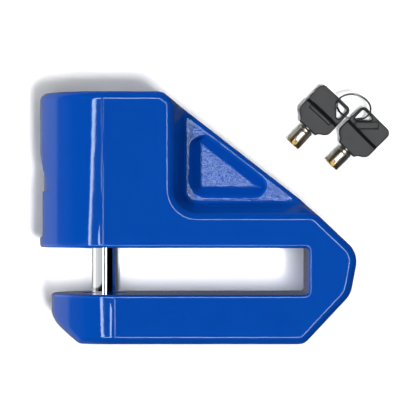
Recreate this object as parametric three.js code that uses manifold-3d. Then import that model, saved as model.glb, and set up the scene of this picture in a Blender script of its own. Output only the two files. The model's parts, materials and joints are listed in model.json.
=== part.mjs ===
// Motorcycle disc brake lock with its two tubular keys, as an assembly of separate pieces.
//
// Frame of the whole part: millimetres, +Z up. The lock lies on its flat back, its locking pin
// runs along Y, and its nose points along +X. The origin is below the middle of the whole part.
// Frame of the lock: the pin's axis is X = 0, Z = 0, and the middle of the rotor slot is Y = 0.
// The lock is stored shut: the pin crosses the slot and the plunger is pushed in.

import * as THREE from 'three';
import { mergeVertices } from 'three/addons/utils/BufferGeometryUtils.js';
import Module from 'manifold-3d';

const wasm = await Module();
wasm.setup();

// ---------------------------------------------------------------- driving dimensions

// Body, cast in one piece
const BARREL_DIAMETER = 50; // also the thickness of the arms, across Z
const SLOT_WIDTH = 17.6; // room for the brake disc
const REACH = 97.5; // pin axis to the tip of the nose
const NOSE_WALL = 19.8; // end of the slot to the tip of the nose
const JAW_HEIGHT = 18.8; // slot to the underside
const JAW_SETBACK = 4.5; // the jaw's round end stands this far behind the barrel's
const SPINE_HEIGHT = 18.2; // slot to the foot of the sloped web
const NOSE_RADIUS = 9;
const JAW_CHAMFER = 10;
const SLOPE_END = 21.4; // tip of the nose to the lower end of the slope
const COLLAR_WIDTH = 22.5; // pin axis to the upper end of the slope
const EDGE_RADIUS = 3;
const SLOT_END_RADIUS = 1.2;

// Web between the barrel and the spine, and the two pockets that thin it
const WEB_THICKNESS = 24;
const WEB_DRAFT = 4.8; // width of the sloping walls around the web
const WEB_LEFT = 26.2; // pin axis to the top of the wall along the barrel
const WEB_FOOT = 12.4; // slot to the top of the wall along the spine
const POCKET_DEPTH = 4;
const POCKET_DRAFT = 3.6;
const POCKET_RIM = 2.4; // flat strip between the web's walls and the inner pocket
const SLOPE_RIM = 2.6; // rim between the slope and the inner pocket
const POCKET_CORNER = 5;
const WEB_CORNER = 9;

// Arrow-shaped panel let into the end of the barrel
const PANEL_DEPTH = 1.5;
const PANEL_HALF_WIDTH = 13.8;
const PANEL_STEM_HALF_WIDTH = 8;
const PANEL_HEAD = 21.5;
const PANEL_STEM = 17.6;
const PANEL_FOOT = 4; // slot to the panel's lower end

// Locking pin and its seats
const PIN_DIAMETER = 10;
const PIN_ENTRY = 7; // how far the pin enters the jaw
const BUSH_WALL = 3;
const GUIDE_LENGTH = 8.2; // shelf between the slot and the spring chamber
const SPRING_ROOM = 9; // spring chamber with the plunger pushed in
const PIN_TIP_CHAMFER = 1;
const PIN_SEAT_FLOOR = 1.8; // metal above the pin's socket in the base plug
const CROSS_PIN_RADIUS = 1.25;
const RETURN_SPRING_WIRE = 0.6; // radius
const RETURN_SPRING_TURNS = 5;

// Push cylinder, a plunger that carries the tubular lock; its stack is measured along Y
const PLUNGER_DIAMETER = 25.4;
const PLUNGER_WALL = 3.4;
const FACE_RECESS = 1.5; // the pushed-in face stands this far below the barrel's rim
const KEYWAY_DEPTH = 6.3;
const CORE_LENGTH = 6;
const BLOCK_LENGTH = 11.4;
const CAM_THICKNESS = 3;
const CAM_RIM = 2.3; // edge of the cam to the latch's peg
const LATCH_HEIGHT = 5;
const PLUG_LENGTH = 7;
const BLOCK_PIN_RADIUS = 1; // holds the driver block in the shell
const BLOCK_PIN_SEAT = 2.2;
const CAM_SCREW_RADIUS = 0.6;
const CAM_SCREW_HEAD_RADIUS = 1.9;
const CAM_SCREW_HEAD = 1.4;
const CAM_SCREW_GRIP = 2; // how far it enters the core above the cam
const TUMBLER_COUNT = 7;
const TUMBLER_DIAMETER = 1;
const DRIVER_LENGTH = 3.2;
const KEY_PIN_LENGTHS = [5.1, 4.4, 4.9, 4.2, 5.3, 4.6, 4.8];
const TUMBLER_FLOOR = 1.8; // metal below the tumblers' holes
const TUMBLER_SPRING_WIRE = 0.12; // radius
const SHAFT_RADIUS = 1.35;
const TAIL_SIDE = 2.4;
const LATCH_THROW = 2.5;
const LATCH_WIDTH = 6.8;
const LATCH_BEVEL = 1.8; // lets the latch ride over the rim as the plunger is pushed in
const LATCH_HEEL = 0.6; // metal behind the peg
const LATCH_PEG_RADIUS = 1.1;
const LATCH_SPRING_RADIUS = 0.9;
const LATCH_SPRING_WIRE = 0.2; // radius
const LATCH_SPRING_SEAT = 4;
const LATCH_SPRING_RISE = 1.6; // foot of the latch to the spring's axis
const CAM_ARC_DEGREES = 90; // the key's quarter turn
const STOP_PIN_DIAMETER = 3;
const STOP_SLOT_FLOOR = 1.2; // shell left behind the stop pin's slot
const STOP_PIN_SINK = 2; // its outer end stands this far below the barrel's face
const CORE_SINK = 0.5; // the core's post stands this far below the plunger's face
const KEYWAY_NOTCH_WIDTH = 1.6; // takes the key's nib
const KEYWAY_NOTCH_DEPTH = 1.2;

// Rubber wiper in a groove just inside the barrel's mouth
const SEAL_DEPTH = 1.6;
const SEAL_HEIGHT = 1.8;
const SEAL_SINK = 1.5; // plunger's face to the top of the seal

// Keys and ring
const KEY_TUBE_DIAMETER = 6;
const KEY_TUBE_WALL = 0.85;
const KEY_STEM_DIAMETER = 3.6; // the part inside the bow
const KEY_TUBE_FREE = 8.6; // tube that stands out of the bow
const KEY_TUBE_HELD = 6;
const BOW_WIDTH = 15.8;
const BOW_LENGTH = 13.4; // far edge to the shoulders
const BOW_SHOULDER = 3.8; // shoulders, along the key
const BOW_NECK = 8.4;
const BOW_THICKNESS = 1.6; // around the ring hole
const BOW_GRIP_THICKNESS = 5.2; // between the ring hole and the tube
const BOW_CORNER = 2;
const BOW_NECK_CORNER = 0.9;
const BOW_GRIP_LENGTH = 8.4;
const KEY_NOTCH_LENGTH = 2.2;
const KEY_NOTCH_WIDTH = 1;
const KEY_BARREL_DEPTH = 7; // bore of the tube, from its open end
const RING_HOLE_DIAMETER = 5.2;
const RING_HOLE_INSET = [3.5, 3.9]; // from the far edge, and from the side
const RING_DIAMETER = 13.4;
const RING_WIRE = 0.7;
const RING_TILT_DEGREES = 47;
const RING_CHORD = [10.07, -3.23]; // direction from one ring hole to the other, in plan
const KEY_HEADINGS_DEGREES = [-133, -135.3]; // of the tubes, in plan
const KEY_SPREAD = 10.6; // between the two ring holes
const KEYS_BEHIND_TIP = 1; // tip of the nose to the middle of the ring's chord
const KEYS_ABOVE_SPINE = 34.1;

// Clearances, each on one side
const FIT = 0.3; // pieces that touch or are pressed together
const RUN = 0.3; // the plunger in its bore
const FINE_RUN = 0.15; // the tumblers in their holes

// ---------------------------------------------------------------- derived places

const barrelRadius = BARREL_DIAMETER / 2;
const pinRadius = PIN_DIAMETER / 2;
const slotTop = SLOT_WIDTH / 2;
const slotFloor = -slotTop;
const underside = slotFloor - JAW_HEIGHT;
const slotEnd = REACH - NOSE_WALL;
const spineTop = slotTop + SPINE_HEIGHT;

const plungerRadius = PLUNGER_DIAMETER / 2;
const chamberRadius = plungerRadius - PLUNGER_WALL;
const boreRadius = plungerRadius + RUN;

const shelf = slotTop + GUIDE_LENGTH;
const plungerFoot = shelf + SPRING_ROOM;
const plugTop = plungerFoot + PLUG_LENGTH;
const latchFoot = plugTop + FIT;
const latchTop = latchFoot + LATCH_HEIGHT;
const camFoot = latchTop + FIT;
const camTop = camFoot + CAM_THICKNESS;
const blockFoot = camTop + 2 * FIT;
const blockTop = blockFoot + BLOCK_LENGTH;
const coreFoot = blockTop + FIT;
const coreTop = coreFoot + CORE_LENGTH;
const chamberTop = coreTop + FIT;
const plungerFace = chamberTop + KEYWAY_DEPTH;
const barrelTop = plungerFace + FACE_RECESS;

const pinTip = slotFloor - PIN_ENTRY;
const jawHoleFloor = pinTip - 2 * FIT;
const plungerTravel = slotTop + FIT - pinTip;
const pinTop = plugTop - PIN_SEAT_FLOOR;
const crossPinY = (plungerFoot + pinTop) / 2;

const stopPinRadius = STOP_PIN_DIAMETER / 2;
const stopPinY = chamberTop - stopPinRadius - FIT;
const stopSlotDepth = PLUNGER_WALL - STOP_SLOT_FLOOR;
const bushRadius = pinRadius + RUN + BUSH_WALL;
const sealTop = plungerFace - SEAL_SINK;
const sealFoot = sealTop - SEAL_HEIGHT;
const blockPinY = (blockFoot + blockTop) / 2;

const tubeRadius = KEY_TUBE_DIAMETER / 2;
const tumblerRadius = TUMBLER_DIAMETER / 2;
const tumblerHoleRadius = tumblerRadius + FINE_RUN;
const tumblerPitchRadius = tubeRadius - KEY_TUBE_WALL / 2;
const postRadius = tubeRadius - KEY_TUBE_WALL - 2 * FINE_RUN;
const tumblerHoleFloor = blockFoot + TUMBLER_FLOOR;
const shaftHoleRadius = SHAFT_RADIUS + FINE_RUN + 0.05;

const camArc = THREE.MathUtils.degToRad(CAM_ARC_DEGREES);
const camRadius = chamberRadius - FIT;
const pegOut = camRadius - CAM_RIM; // the peg's distance from the axis with the latch out
const latchNose = plungerRadius + LATCH_THROW;
const latchHeel = pegOut - LATCH_PEG_RADIUS - LATCH_HEEL;
const latchSpringY = latchFoot + LATCH_SPRING_RISE;

// ---------------------------------------------------------------- shape helpers

/** A closed three.js geometry as a manifold solid. */
function solid(geometry) {
  const bare = geometry.index ? geometry.toNonIndexed() : geometry.clone();
  bare.deleteAttribute('normal');
  bare.deleteAttribute('uv');
  const merged = mergeVertices(bare, 1e-4);
  return new wasm.Manifold(new wasm.Mesh({
    numProp: 3,
    vertProperties: new Float32Array(merged.attributes.position.array),
    triVerts: new Uint32Array(merged.index.array),
  }));
}

/** A manifold solid as a three.js geometry. */
function geometryOf(manifold) {
  const mesh = manifold.getMesh();
  const geometry = new THREE.BufferGeometry();
  const positions = new Float32Array(mesh.vertProperties);
  geometry.setAttribute('position', new THREE.BufferAttribute(positions, 3));
  geometry.setIndex(new THREE.BufferAttribute(new Uint32Array(mesh.triVerts), 1));
  geometry.computeVertexNormals();
  return geometry;
}

/** A cylinder along Y between two heights. */
function rod(radius, y0, y1, { x = 0, z = 0, sides = 32 } = {}) {
  const geometry = new THREE.CylinderGeometry(radius, radius, y1 - y0, sides);
  return geometry.translate(x, (y0 + y1) / 2, z);
}

/** A cylinder that starts at a point and runs along a direction. */
function rodAlong(radius, start, direction, length, sides = 16) {
  const geometry = new THREE.CylinderGeometry(radius, radius, length, sides);
  geometry.translate(0, length / 2, 0);
  const turn = new THREE.Quaternion().setFromUnitVectors(
    new THREE.Vector3(0, 1, 0),
    new THREE.Vector3(...direction).normalize(),
  );
  return geometry.applyQuaternion(turn).translate(...start);
}

/** A block between two opposite corners. */
function block(low, high) {
  const size = high.map((value, i) => value - low[i]);
  const middle = high.map((value, i) => (value + low[i]) / 2);
  return new THREE.BoxGeometry(...size).translate(...middle);
}

/** An outline with each corner rounded by its own radius, as a THREE.Shape. */
function roundedOutline(corners, steps = 5) {
  const points = [];
  corners.forEach(([x, y, radius = 0], i) => {
    const corner = new THREE.Vector2(x, y);
    const before = new THREE.Vector2(...corners.at(i - 1));
    const after = new THREE.Vector2(...corners[(i + 1) % corners.length]);
    const back = before.sub(corner).normalize();
    const ahead = after.sub(corner).normalize();
    if (radius === 0) {
      points.push(corner);
      return;
    }
    const half = Math.acos(THREE.MathUtils.clamp(back.dot(ahead), -1, 1)) / 2;
    const centre = corner.clone().addScaledVector(
      back.clone().add(ahead).normalize(), radius / Math.sin(half));
    const from = corner.clone().addScaledVector(back, radius / Math.tan(half));
    const to = corner.clone().addScaledVector(ahead, radius / Math.tan(half));
    const start = Math.atan2(from.y - centre.y, from.x - centre.x);
    const end = Math.atan2(to.y - centre.y, to.x - centre.x);
    const sweep = Math.atan2(Math.sin(end - start), Math.cos(end - start));
    for (let k = 0; k <= steps; k += 1) {
      const angle = start + (sweep * k) / steps;
      points.push(new THREE.Vector2(
        centre.x + radius * Math.cos(angle), centre.y + radius * Math.sin(angle)));
    }
  });
  return new THREE.Shape(points);
}

/** An outline in X and Y, raised between two heights in Z, with optional rounded edges. */
function raised(shape, z0, z1, edge = 0, edgeSteps = 3) {
  const geometry = new THREE.ExtrudeGeometry(shape, {
    depth: z1 - z0 - 2 * edge,
    curveSegments: 12,
    bevelEnabled: edge > 0,
    bevelThickness: edge,
    bevelSize: edge,
    bevelOffset: -edge,
    bevelSegments: edgeSteps,
  });
  return geometry.translate(0, 0, z0 + edge);
}

/** A recess with sloping walls, open upwards: full size at `top`, smaller by `draft` at `floor`. */
function drafted(shape, floor, top, draft) {
  const wall = top - floor;
  const geometry = new THREE.ExtrudeGeometry(shape, {
    depth: wall,
    curveSegments: 12,
    bevelEnabled: true,
    bevelThickness: wall,
    bevelSize: draft,
    bevelOffset: -draft,
    bevelSegments: 1,
  });
  return geometry.translate(0, 0, top);
}

/** A turned piece about Y from [radius, y] points; the profile starts and ends on the axis. */
function turned(profile, sides = 40) {
  return new THREE.LatheGeometry(profile.map(([r, y]) => new THREE.Vector2(r, y)), sides);
}

/** A closed coil of round wire about Y. */
function coil(radius, wire, y0, y1, turns, stepsPerTurn = 12, wireSides = 6) {
  class Helix extends THREE.Curve {
    getPoint(t, target = new THREE.Vector3()) {
      const angle = t * turns * 2 * Math.PI;
      const height = THREE.MathUtils.lerp(y0 + wire, y1 - wire, t);
      return target.set(radius * Math.cos(angle), height, radius * Math.sin(angle));
    }
  }
  const section = new THREE.Shape();
  section.absarc(0, 0, wire, 0, 2 * Math.PI);
  return new THREE.ExtrudeGeometry(section, {
    steps: Math.round(turns * stepsPerTurn),
    curveSegments: wireSides / 2,
    bevelEnabled: false,
    extrudePath: new Helix(),
  });
}

/** The middle of one tumbler, seen along the pin. */
function tumblerPlace(index) {
  const angle = ((index + 0.5) / TUMBLER_COUNT) * 2 * Math.PI;
  return { x: tumblerPitchRadius * Math.cos(angle), z: tumblerPitchRadius * Math.sin(angle) };
}

// ---------------------------------------------------------------- materials

const finishes = {
  bluePaint: { color: 0x06489e, roughness: 0.22, metalness: 0.35 },
  chrome: { color: 0xd8dadc, roughness: 0.08, metalness: 1 },
  steel: { color: 0x9a9da0, roughness: 0.35, metalness: 1 },
  springSteel: { color: 0x6f7276, roughness: 0.4, metalness: 1 },
  brass: { color: 0xc9a24a, roughness: 0.3, metalness: 1 },
  nickel: { color: 0xcfcab8, roughness: 0.2, metalness: 1 },
  blackPlastic: { color: 0x1b1c1e, roughness: 0.5, metalness: 0 },
  rubber: { color: 0x121212, roughness: 0.8, metalness: 0 },
};

/** One named piece with a material of its own. */
function piece(name, shape, finish) {
  const geometry = shape instanceof THREE.BufferGeometry ? shape : geometryOf(shape);
  const mesh = new THREE.Mesh(geometry, new THREE.MeshStandardMaterial(finishes[finish]));
  mesh.name = name;
  return mesh;
}

// ---------------------------------------------------------------- body

/** The side outline of the whole body, without its slot. */
function bodyOutline() {
  const left = -barrelRadius;
  const chamferTop = underside + JAW_CHAMFER;
  return roundedOutline([
    [left, barrelTop],
    [left, chamferTop + 2],
    [left + JAW_SETBACK + JAW_CHAMFER * 1.15, underside, 4],
    [slotEnd - 1.5, underside, 5],
    [REACH - 3, underside + JAW_HEIGHT, NOSE_RADIUS],
    [REACH, slotTop - 2, NOSE_RADIUS],
    [REACH - SLOPE_END, spineTop, 6],
    [COLLAR_WIDTH, barrelTop, 5],
  ]);
}

/** The plan of the body seen along the pin: a round end, then straight sides. */
function planOutline(setback) {
  const shape = new THREE.Shape();
  shape.absarc(setback, 0, barrelRadius, Math.PI / 2, (3 * Math.PI) / 2);
  shape.lineTo(REACH + NOSE_RADIUS, -barrelRadius);
  shape.lineTo(REACH + NOSE_RADIUS, barrelRadius);
  return shape;
}

/** The plan raised along Y with rounded rims. */
function planSolid(setback, y0, y1) {
  const geometry = raised(planOutline(setback), -y1, -y0, EDGE_RADIUS, 3);
  return solid(geometry.rotateX(Math.PI / 2));
}

/** The corner where the web meets the barrel and the spine, as the open recess above the web. */
function webRecess() {
  const slopeRun = REACH - SLOPE_END - COLLAR_WIDTH;
  const slopeDrop = barrelTop - spineTop;
  const foot = slotTop + WEB_FOOT;
  const past = 4 * EDGE_RADIUS;
  const shape = roundedOutline([
    [WEB_LEFT, foot, WEB_CORNER],
    [REACH - SLOPE_END + (slopeRun * (spineTop - foot)) / slopeDrop + past, foot],
    [REACH, barrelTop + past],
    [WEB_LEFT, barrelTop + past],
  ]);
  return solid(drafted(shape, WEB_THICKNESS / 2, barrelRadius, WEB_DRAFT));
}

/** The inner pocket, a rounded triangle between the web's walls and the slope. */
function innerPocket() {
  const left = WEB_LEFT + WEB_DRAFT + POCKET_RIM;
  const foot = slotTop + WEB_FOOT + WEB_DRAFT + POCKET_RIM;
  const run = REACH - SLOPE_END - COLLAR_WIDTH;
  const drop = barrelTop - spineTop;
  const inset = SLOPE_RIM * Math.hypot(1, drop / run);
  const slopeAt = (x) => barrelTop - (drop * (x - COLLAR_WIDTH)) / run - inset;
  const right = COLLAR_WIDTH + ((barrelTop - inset - foot) * run) / drop;
  const shape = roundedOutline([
    [left, foot, POCKET_DRAFT + 0.6],
    [right, foot, POCKET_CORNER],
    [left, slopeAt(left), POCKET_CORNER],
  ]);
  const floor = WEB_THICKNESS / 2 - POCKET_DEPTH;
  return solid(drafted(shape, floor, WEB_THICKNESS / 2, POCKET_DRAFT));
}

/** The arrow-shaped panel in the barrel's end, as the metal to remove. */
function panelRecess() {
  const stemTop = slotTop + PANEL_FOOT + PANEL_STEM;
  const shape = roundedOutline([
    [slotTop + PANEL_FOOT, -PANEL_STEM_HALF_WIDTH, 1],
    [stemTop, -PANEL_STEM_HALF_WIDTH],
    [stemTop, -PANEL_HALF_WIDTH, 1],
    [stemTop + PANEL_HEAD, 0, 2],
    [stemTop, PANEL_HALF_WIDTH, 1],
    [stemTop, PANEL_STEM_HALF_WIDTH],
    [slotTop + PANEL_FOOT, PANEL_STEM_HALF_WIDTH, 1],
  ], 3);
  const toBarrelEnd = new THREE.Matrix4().makeBasis(
    new THREE.Vector3(0, 1, 0), new THREE.Vector3(0, 0, 1), new THREE.Vector3(1, 0, 0));
  const prism = raised(shape, -barrelRadius - 1, -barrelRadius / 2).applyMatrix4(toBarrelEnd);
  const core = rod(barrelRadius - PANEL_DEPTH, underside, barrelTop, { sides: 64 });
  return solid(prism).subtract(solid(core));
}

function lockBody() {
  const jawBand = solid(block(
    [-REACH, underside - 1, -BARREL_DIAMETER], [2 * REACH, 0, BARREL_DIAMETER]));
  const upperBand = solid(block(
    [-REACH, 0, -BARREL_DIAMETER], [2 * REACH, barrelTop + 1, BARREL_DIAMETER]));
  const upperPlan = planSolid(0, -2 * EDGE_RADIUS, barrelTop).intersect(upperBand);
  const jawPlan = planSolid(JAW_SETBACK, underside, 2 * EDGE_RADIUS).intersect(jawBand);
  const side = solid(raised(bodyOutline(), -barrelRadius, barrelRadius, EDGE_RADIUS, 3));
  let body = side.intersect(upperPlan.add(jawPlan));

  const slot = roundedOutline([
    [-2 * barrelRadius, slotFloor],
    [slotEnd, slotFloor, SLOT_END_RADIUS],
    [slotEnd, slotTop, SLOT_END_RADIUS],
    [-2 * barrelRadius, slotTop],
  ]);
  body = body.subtract(solid(raised(slot, -BARREL_DIAMETER, BARREL_DIAMETER)));

  const recess = webRecess().add(innerPocket());
  body = body.subtract(recess).subtract(recess.mirror([0, 0, 1]));
  body = body.subtract(panelRecess());

  const bores = [
    rod(boreRadius, shelf, barrelTop + 1, { sides: 64 }),
    rod(bushRadius + FIT, slotTop - 1, shelf + 1, { sides: 40 }),
    rod(bushRadius + FIT, jawHoleFloor - FIT, slotFloor + 1, { sides: 40 }),
    rod(boreRadius + SEAL_DEPTH, sealFoot - FIT, sealTop + FIT, { sides: 64 }),
    latchChannel(),
    rodAlong(stopPinRadius + FIT, [0, stopPinY, -barrelRadius - 1], [0, 0, 1],
      barrelRadius + 1 - boreRadius + 1, 20),
  ];
  return bores.reduce((left, bore) => left.subtract(solid(bore)), body);
}

/** The channel beside the bore that the latch's nose travels in. */
function latchChannel() {
  const half = LATCH_WIDTH / 2 + 2 * FIT;
  const top = latchTop + plungerTravel + FIT;
  return block([0, latchFoot - FIT, -half], [latchNose + 2 * FIT, top, half]);
}

function pinGuideBush() {
  return turned([
    [pinRadius + RUN, slotTop + FIT],
    [bushRadius, slotTop + FIT],
    [bushRadius, shelf - FIT],
    [pinRadius + RUN, shelf - FIT],
    [pinRadius + RUN, slotTop + FIT],
  ]);
}

function jawSocket() {
  return turned([
    [0, jawHoleFloor],
    [bushRadius, jawHoleFloor],
    [bushRadius, slotFloor - FIT],
    [pinRadius + RUN, slotFloor - FIT],
    [pinRadius + RUN, jawHoleFloor + FIT],
    [0, jawHoleFloor + FIT],
  ]);
}

function mouthSeal() {
  const inner = plungerRadius + RUN / 2;
  const outer = boreRadius + SEAL_DEPTH - FIT;
  return turned([
    [inner, sealFoot], [outer, sealFoot], [outer, sealTop], [inner, sealTop], [inner, sealFoot],
  ], 56);
}

function stopPin() {
  const inner = plungerRadius - stopSlotDepth + FIT;
  const outer = barrelRadius - STOP_PIN_SINK;
  return rodAlong(stopPinRadius, [0, stopPinY, -outer], [0, 0, 1], outer - inner, 20);
}

// ---------------------------------------------------------------- plunger

/** The hole through the plunger, the base plug and the locking pin that the cross pin fills. */
function crossPinHole() {
  const start = [-boreRadius, crossPinY, 0];
  return rodAlong(CROSS_PIN_RADIUS + FIT, start, [1, 0, 0], 2 * boreRadius);
}

function plungerShell() {
  const shell = solid(turned([
    [chamberRadius, plungerFoot],
    [plungerRadius - 0.6, plungerFoot],
    [plungerRadius, plungerFoot + 0.6],
    [plungerRadius, plungerFace - 0.8],
    [plungerRadius - 0.8, plungerFace],
    [tubeRadius + 2 * FINE_RUN, plungerFace],
    [tubeRadius + 2 * FINE_RUN, chamberTop],
    [chamberRadius, chamberTop],
    [chamberRadius, plungerFoot],
  ], 64));
  const half = stopPinRadius + FIT;
  const slotInner = plungerRadius - stopSlotDepth;
  const window = LATCH_WIDTH / 2 + FIT;
  const cuts = [
    block([-half, stopPinY - plungerTravel - half, -plungerRadius - 1],
      [half, stopPinY + half, -slotInner]),
    block([chamberRadius / 2, latchFoot - FIT, -window], [boreRadius, latchTop + FIT, window]),
    crossPinHole(),
    rodAlong(BLOCK_PIN_RADIUS + FIT, [0, blockPinY, 0], [0, 0, 1], boreRadius),
    block([-KEYWAY_NOTCH_WIDTH / 2, chamberTop - 1, postRadius],
      [KEYWAY_NOTCH_WIDTH / 2, plungerFace + 1, tubeRadius + KEYWAY_NOTCH_DEPTH]),
  ];
  return cuts.reduce((left, cut) => left.subtract(solid(cut)), shell);
}

function blockPin() {
  const inner = chamberRadius - BLOCK_PIN_SEAT;
  const outer = plungerRadius - 0.4;
  return rodAlong(BLOCK_PIN_RADIUS, [0, blockPinY, inner], [0, 0, 1], outer - inner);
}

/** Cuts one round hole for each tumbler. */
function drillTumblers(blank, y0, y1) {
  let drilled = blank;
  for (let i = 0; i < TUMBLER_COUNT; i += 1) {
    const place = { ...tumblerPlace(i), sides: 12 };
    drilled = drilled.subtract(solid(rod(tumblerHoleRadius, y0, y1, place)));
  }
  return drilled;
}

function driverBlock() {
  const blank = solid(turned([
    [shaftHoleRadius, blockFoot],
    [chamberRadius - FIT, blockFoot],
    [chamberRadius - FIT, blockTop],
    [shaftHoleRadius, blockTop],
    [shaftHoleRadius, blockFoot],
  ]));
  const pinHole = rodAlong(
    BLOCK_PIN_RADIUS + FIT, [0, blockPinY, chamberRadius - BLOCK_PIN_SEAT - FIT],
    [0, 0, 1], chamberRadius);
  return drillTumblers(blank, tumblerHoleFloor, blockTop + 1).subtract(solid(pinHole));
}

function core() {
  const blank = solid(turned([
    [0, camTop + FIT],
    [SHAFT_RADIUS, camTop + FIT],
    [SHAFT_RADIUS, coreFoot],
    [chamberRadius - FIT, coreFoot],
    [chamberRadius - FIT, coreTop],
    [postRadius, coreTop],
    [postRadius, plungerFace - CORE_SINK - 0.4],
    [postRadius - 0.4, plungerFace - CORE_SINK],
    [0, plungerFace - CORE_SINK],
  ]));
  const half = TAIL_SIDE / 2;
  const tail = solid(block([-half, camFoot + FIT, -half], [half, camTop + 2 * FIT, half]));
  const shaft = solid(rod(SHAFT_RADIUS, camTop + FIT, coreFoot + 1));
  const screwTop = camTop + CAM_SCREW_GRIP + 2 * FIT;
  const screwHole = solid(rod(CAM_SCREW_RADIUS + FINE_RUN, camFoot, screwTop, { sides: 12 }));
  const whole = blank.add(shaft).add(tail).subtract(screwHole);
  return drillTumblers(whole, coreFoot - 1, coreTop + 1);
}

function camScrew() {
  return turned([
    [0, camFoot - FIT - CAM_SCREW_HEAD],
    [CAM_SCREW_HEAD_RADIUS, camFoot - FIT - CAM_SCREW_HEAD],
    [CAM_SCREW_HEAD_RADIUS, camFoot - FIT],
    [CAM_SCREW_RADIUS, camFoot - FIT],
    [CAM_SCREW_RADIUS, camTop + CAM_SCREW_GRIP],
    [0, camTop + CAM_SCREW_GRIP],
  ], 16);
}

/**
 * The cam: a disc whose spiral slot draws the latch's peg inwards in step with the turn.
 * The peg stays on +X, so in the disc its path runs backwards through the turn.
 */
function camDisc() {
  const reach = LATCH_PEG_RADIUS + FIT;
  const pad = reach / pegOut;
  const steps = 18;
  const outer = [];
  const inner = [];
  for (let k = 0; k <= steps; k += 1) {
    const turn = THREE.MathUtils.lerp(-pad, camArc + 1.6 * pad, k / steps);
    const middle = pegOut - (LATCH_THROW * turn) / camArc;
    const heading = new THREE.Vector2(Math.cos(turn), Math.sin(turn));
    outer.push(heading.clone().multiplyScalar(middle + reach));
    inner.push(heading.clone().multiplyScalar(middle - reach));
  }
  const slot = raised(new THREE.Shape([...outer, ...inner.reverse()]), camFoot - 1, camTop + 1);
  const half = TAIL_SIDE / 2 + FIT;
  return solid(rod(camRadius, camFoot, camTop, { sides: 40 }))
    .subtract(solid(slot.rotateX(-Math.PI / 2)))
    .subtract(solid(block([-half, camFoot - 1, -half], [half, camTop + 1, half])));
}

function latchBolt() {
  const half = LATCH_WIDTH / 2;
  const side = new THREE.Shape([
    new THREE.Vector2(latchHeel, latchFoot),
    new THREE.Vector2(latchNose - LATCH_BEVEL, latchFoot),
    new THREE.Vector2(latchNose, latchFoot + LATCH_BEVEL),
    new THREE.Vector2(latchNose, latchTop),
    new THREE.Vector2(latchHeel, latchTop),
  ]);
  const peg = rod(LATCH_PEG_RADIUS, latchTop - 1, camTop - FIT, { x: pegOut, sides: 16 });
  const seat = rodAlong(
    LATCH_SPRING_RADIUS + 2 * FIT, [latchHeel - 1, latchSpringY, 0], [1, 0, 0], LATCH_SPRING_SEAT + 1);
  return solid(raised(side, -half, half)).add(solid(peg)).subtract(solid(seat));
}

function latchSpring() {
  const from = -chamberRadius + FIT;
  const to = latchHeel + LATCH_SPRING_SEAT - FIT;
  const radius = LATCH_SPRING_RADIUS - LATCH_SPRING_WIRE;
  const spring = coil(radius, LATCH_SPRING_WIRE, 0, to - from, 8, 8, 4);
  return spring.rotateZ(-Math.PI / 2).translate(from, latchSpringY, 0);
}

function basePlug() {
  const plug = solid(turned([
    [0, plungerFoot],
    [chamberRadius - FIT, plungerFoot],
    [chamberRadius - FIT, plugTop],
    [0, plugTop],
  ]));
  const socket = rod(pinRadius + FIT, plungerFoot - 1, pinTop + FIT);
  return plug.subtract(solid(socket)).subtract(solid(crossPinHole()));
}

function lockingPin() {
  const blank = solid(turned([
    [0, pinTip],
    [pinRadius - PIN_TIP_CHAMFER, pinTip],
    [pinRadius, pinTip + PIN_TIP_CHAMFER],
    [pinRadius, pinTop],
    [0, pinTop],
  ], 48));
  return blank.subtract(solid(crossPinHole()));
}

function crossPin() {
  const half = plungerRadius - 0.6;
  return rodAlong(CROSS_PIN_RADIUS, [-half, crossPinY, 0], [1, 0, 0], 2 * half, 16);
}

function returnSpring() {
  const radius = (pinRadius + boreRadius) / 2;
  const turns = RETURN_SPRING_TURNS;
  return coil(radius, RETURN_SPRING_WIRE, shelf + FIT, plungerFoot - FIT, turns, 20, 6);
}

// ---------------------------------------------------------------- keys

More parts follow.
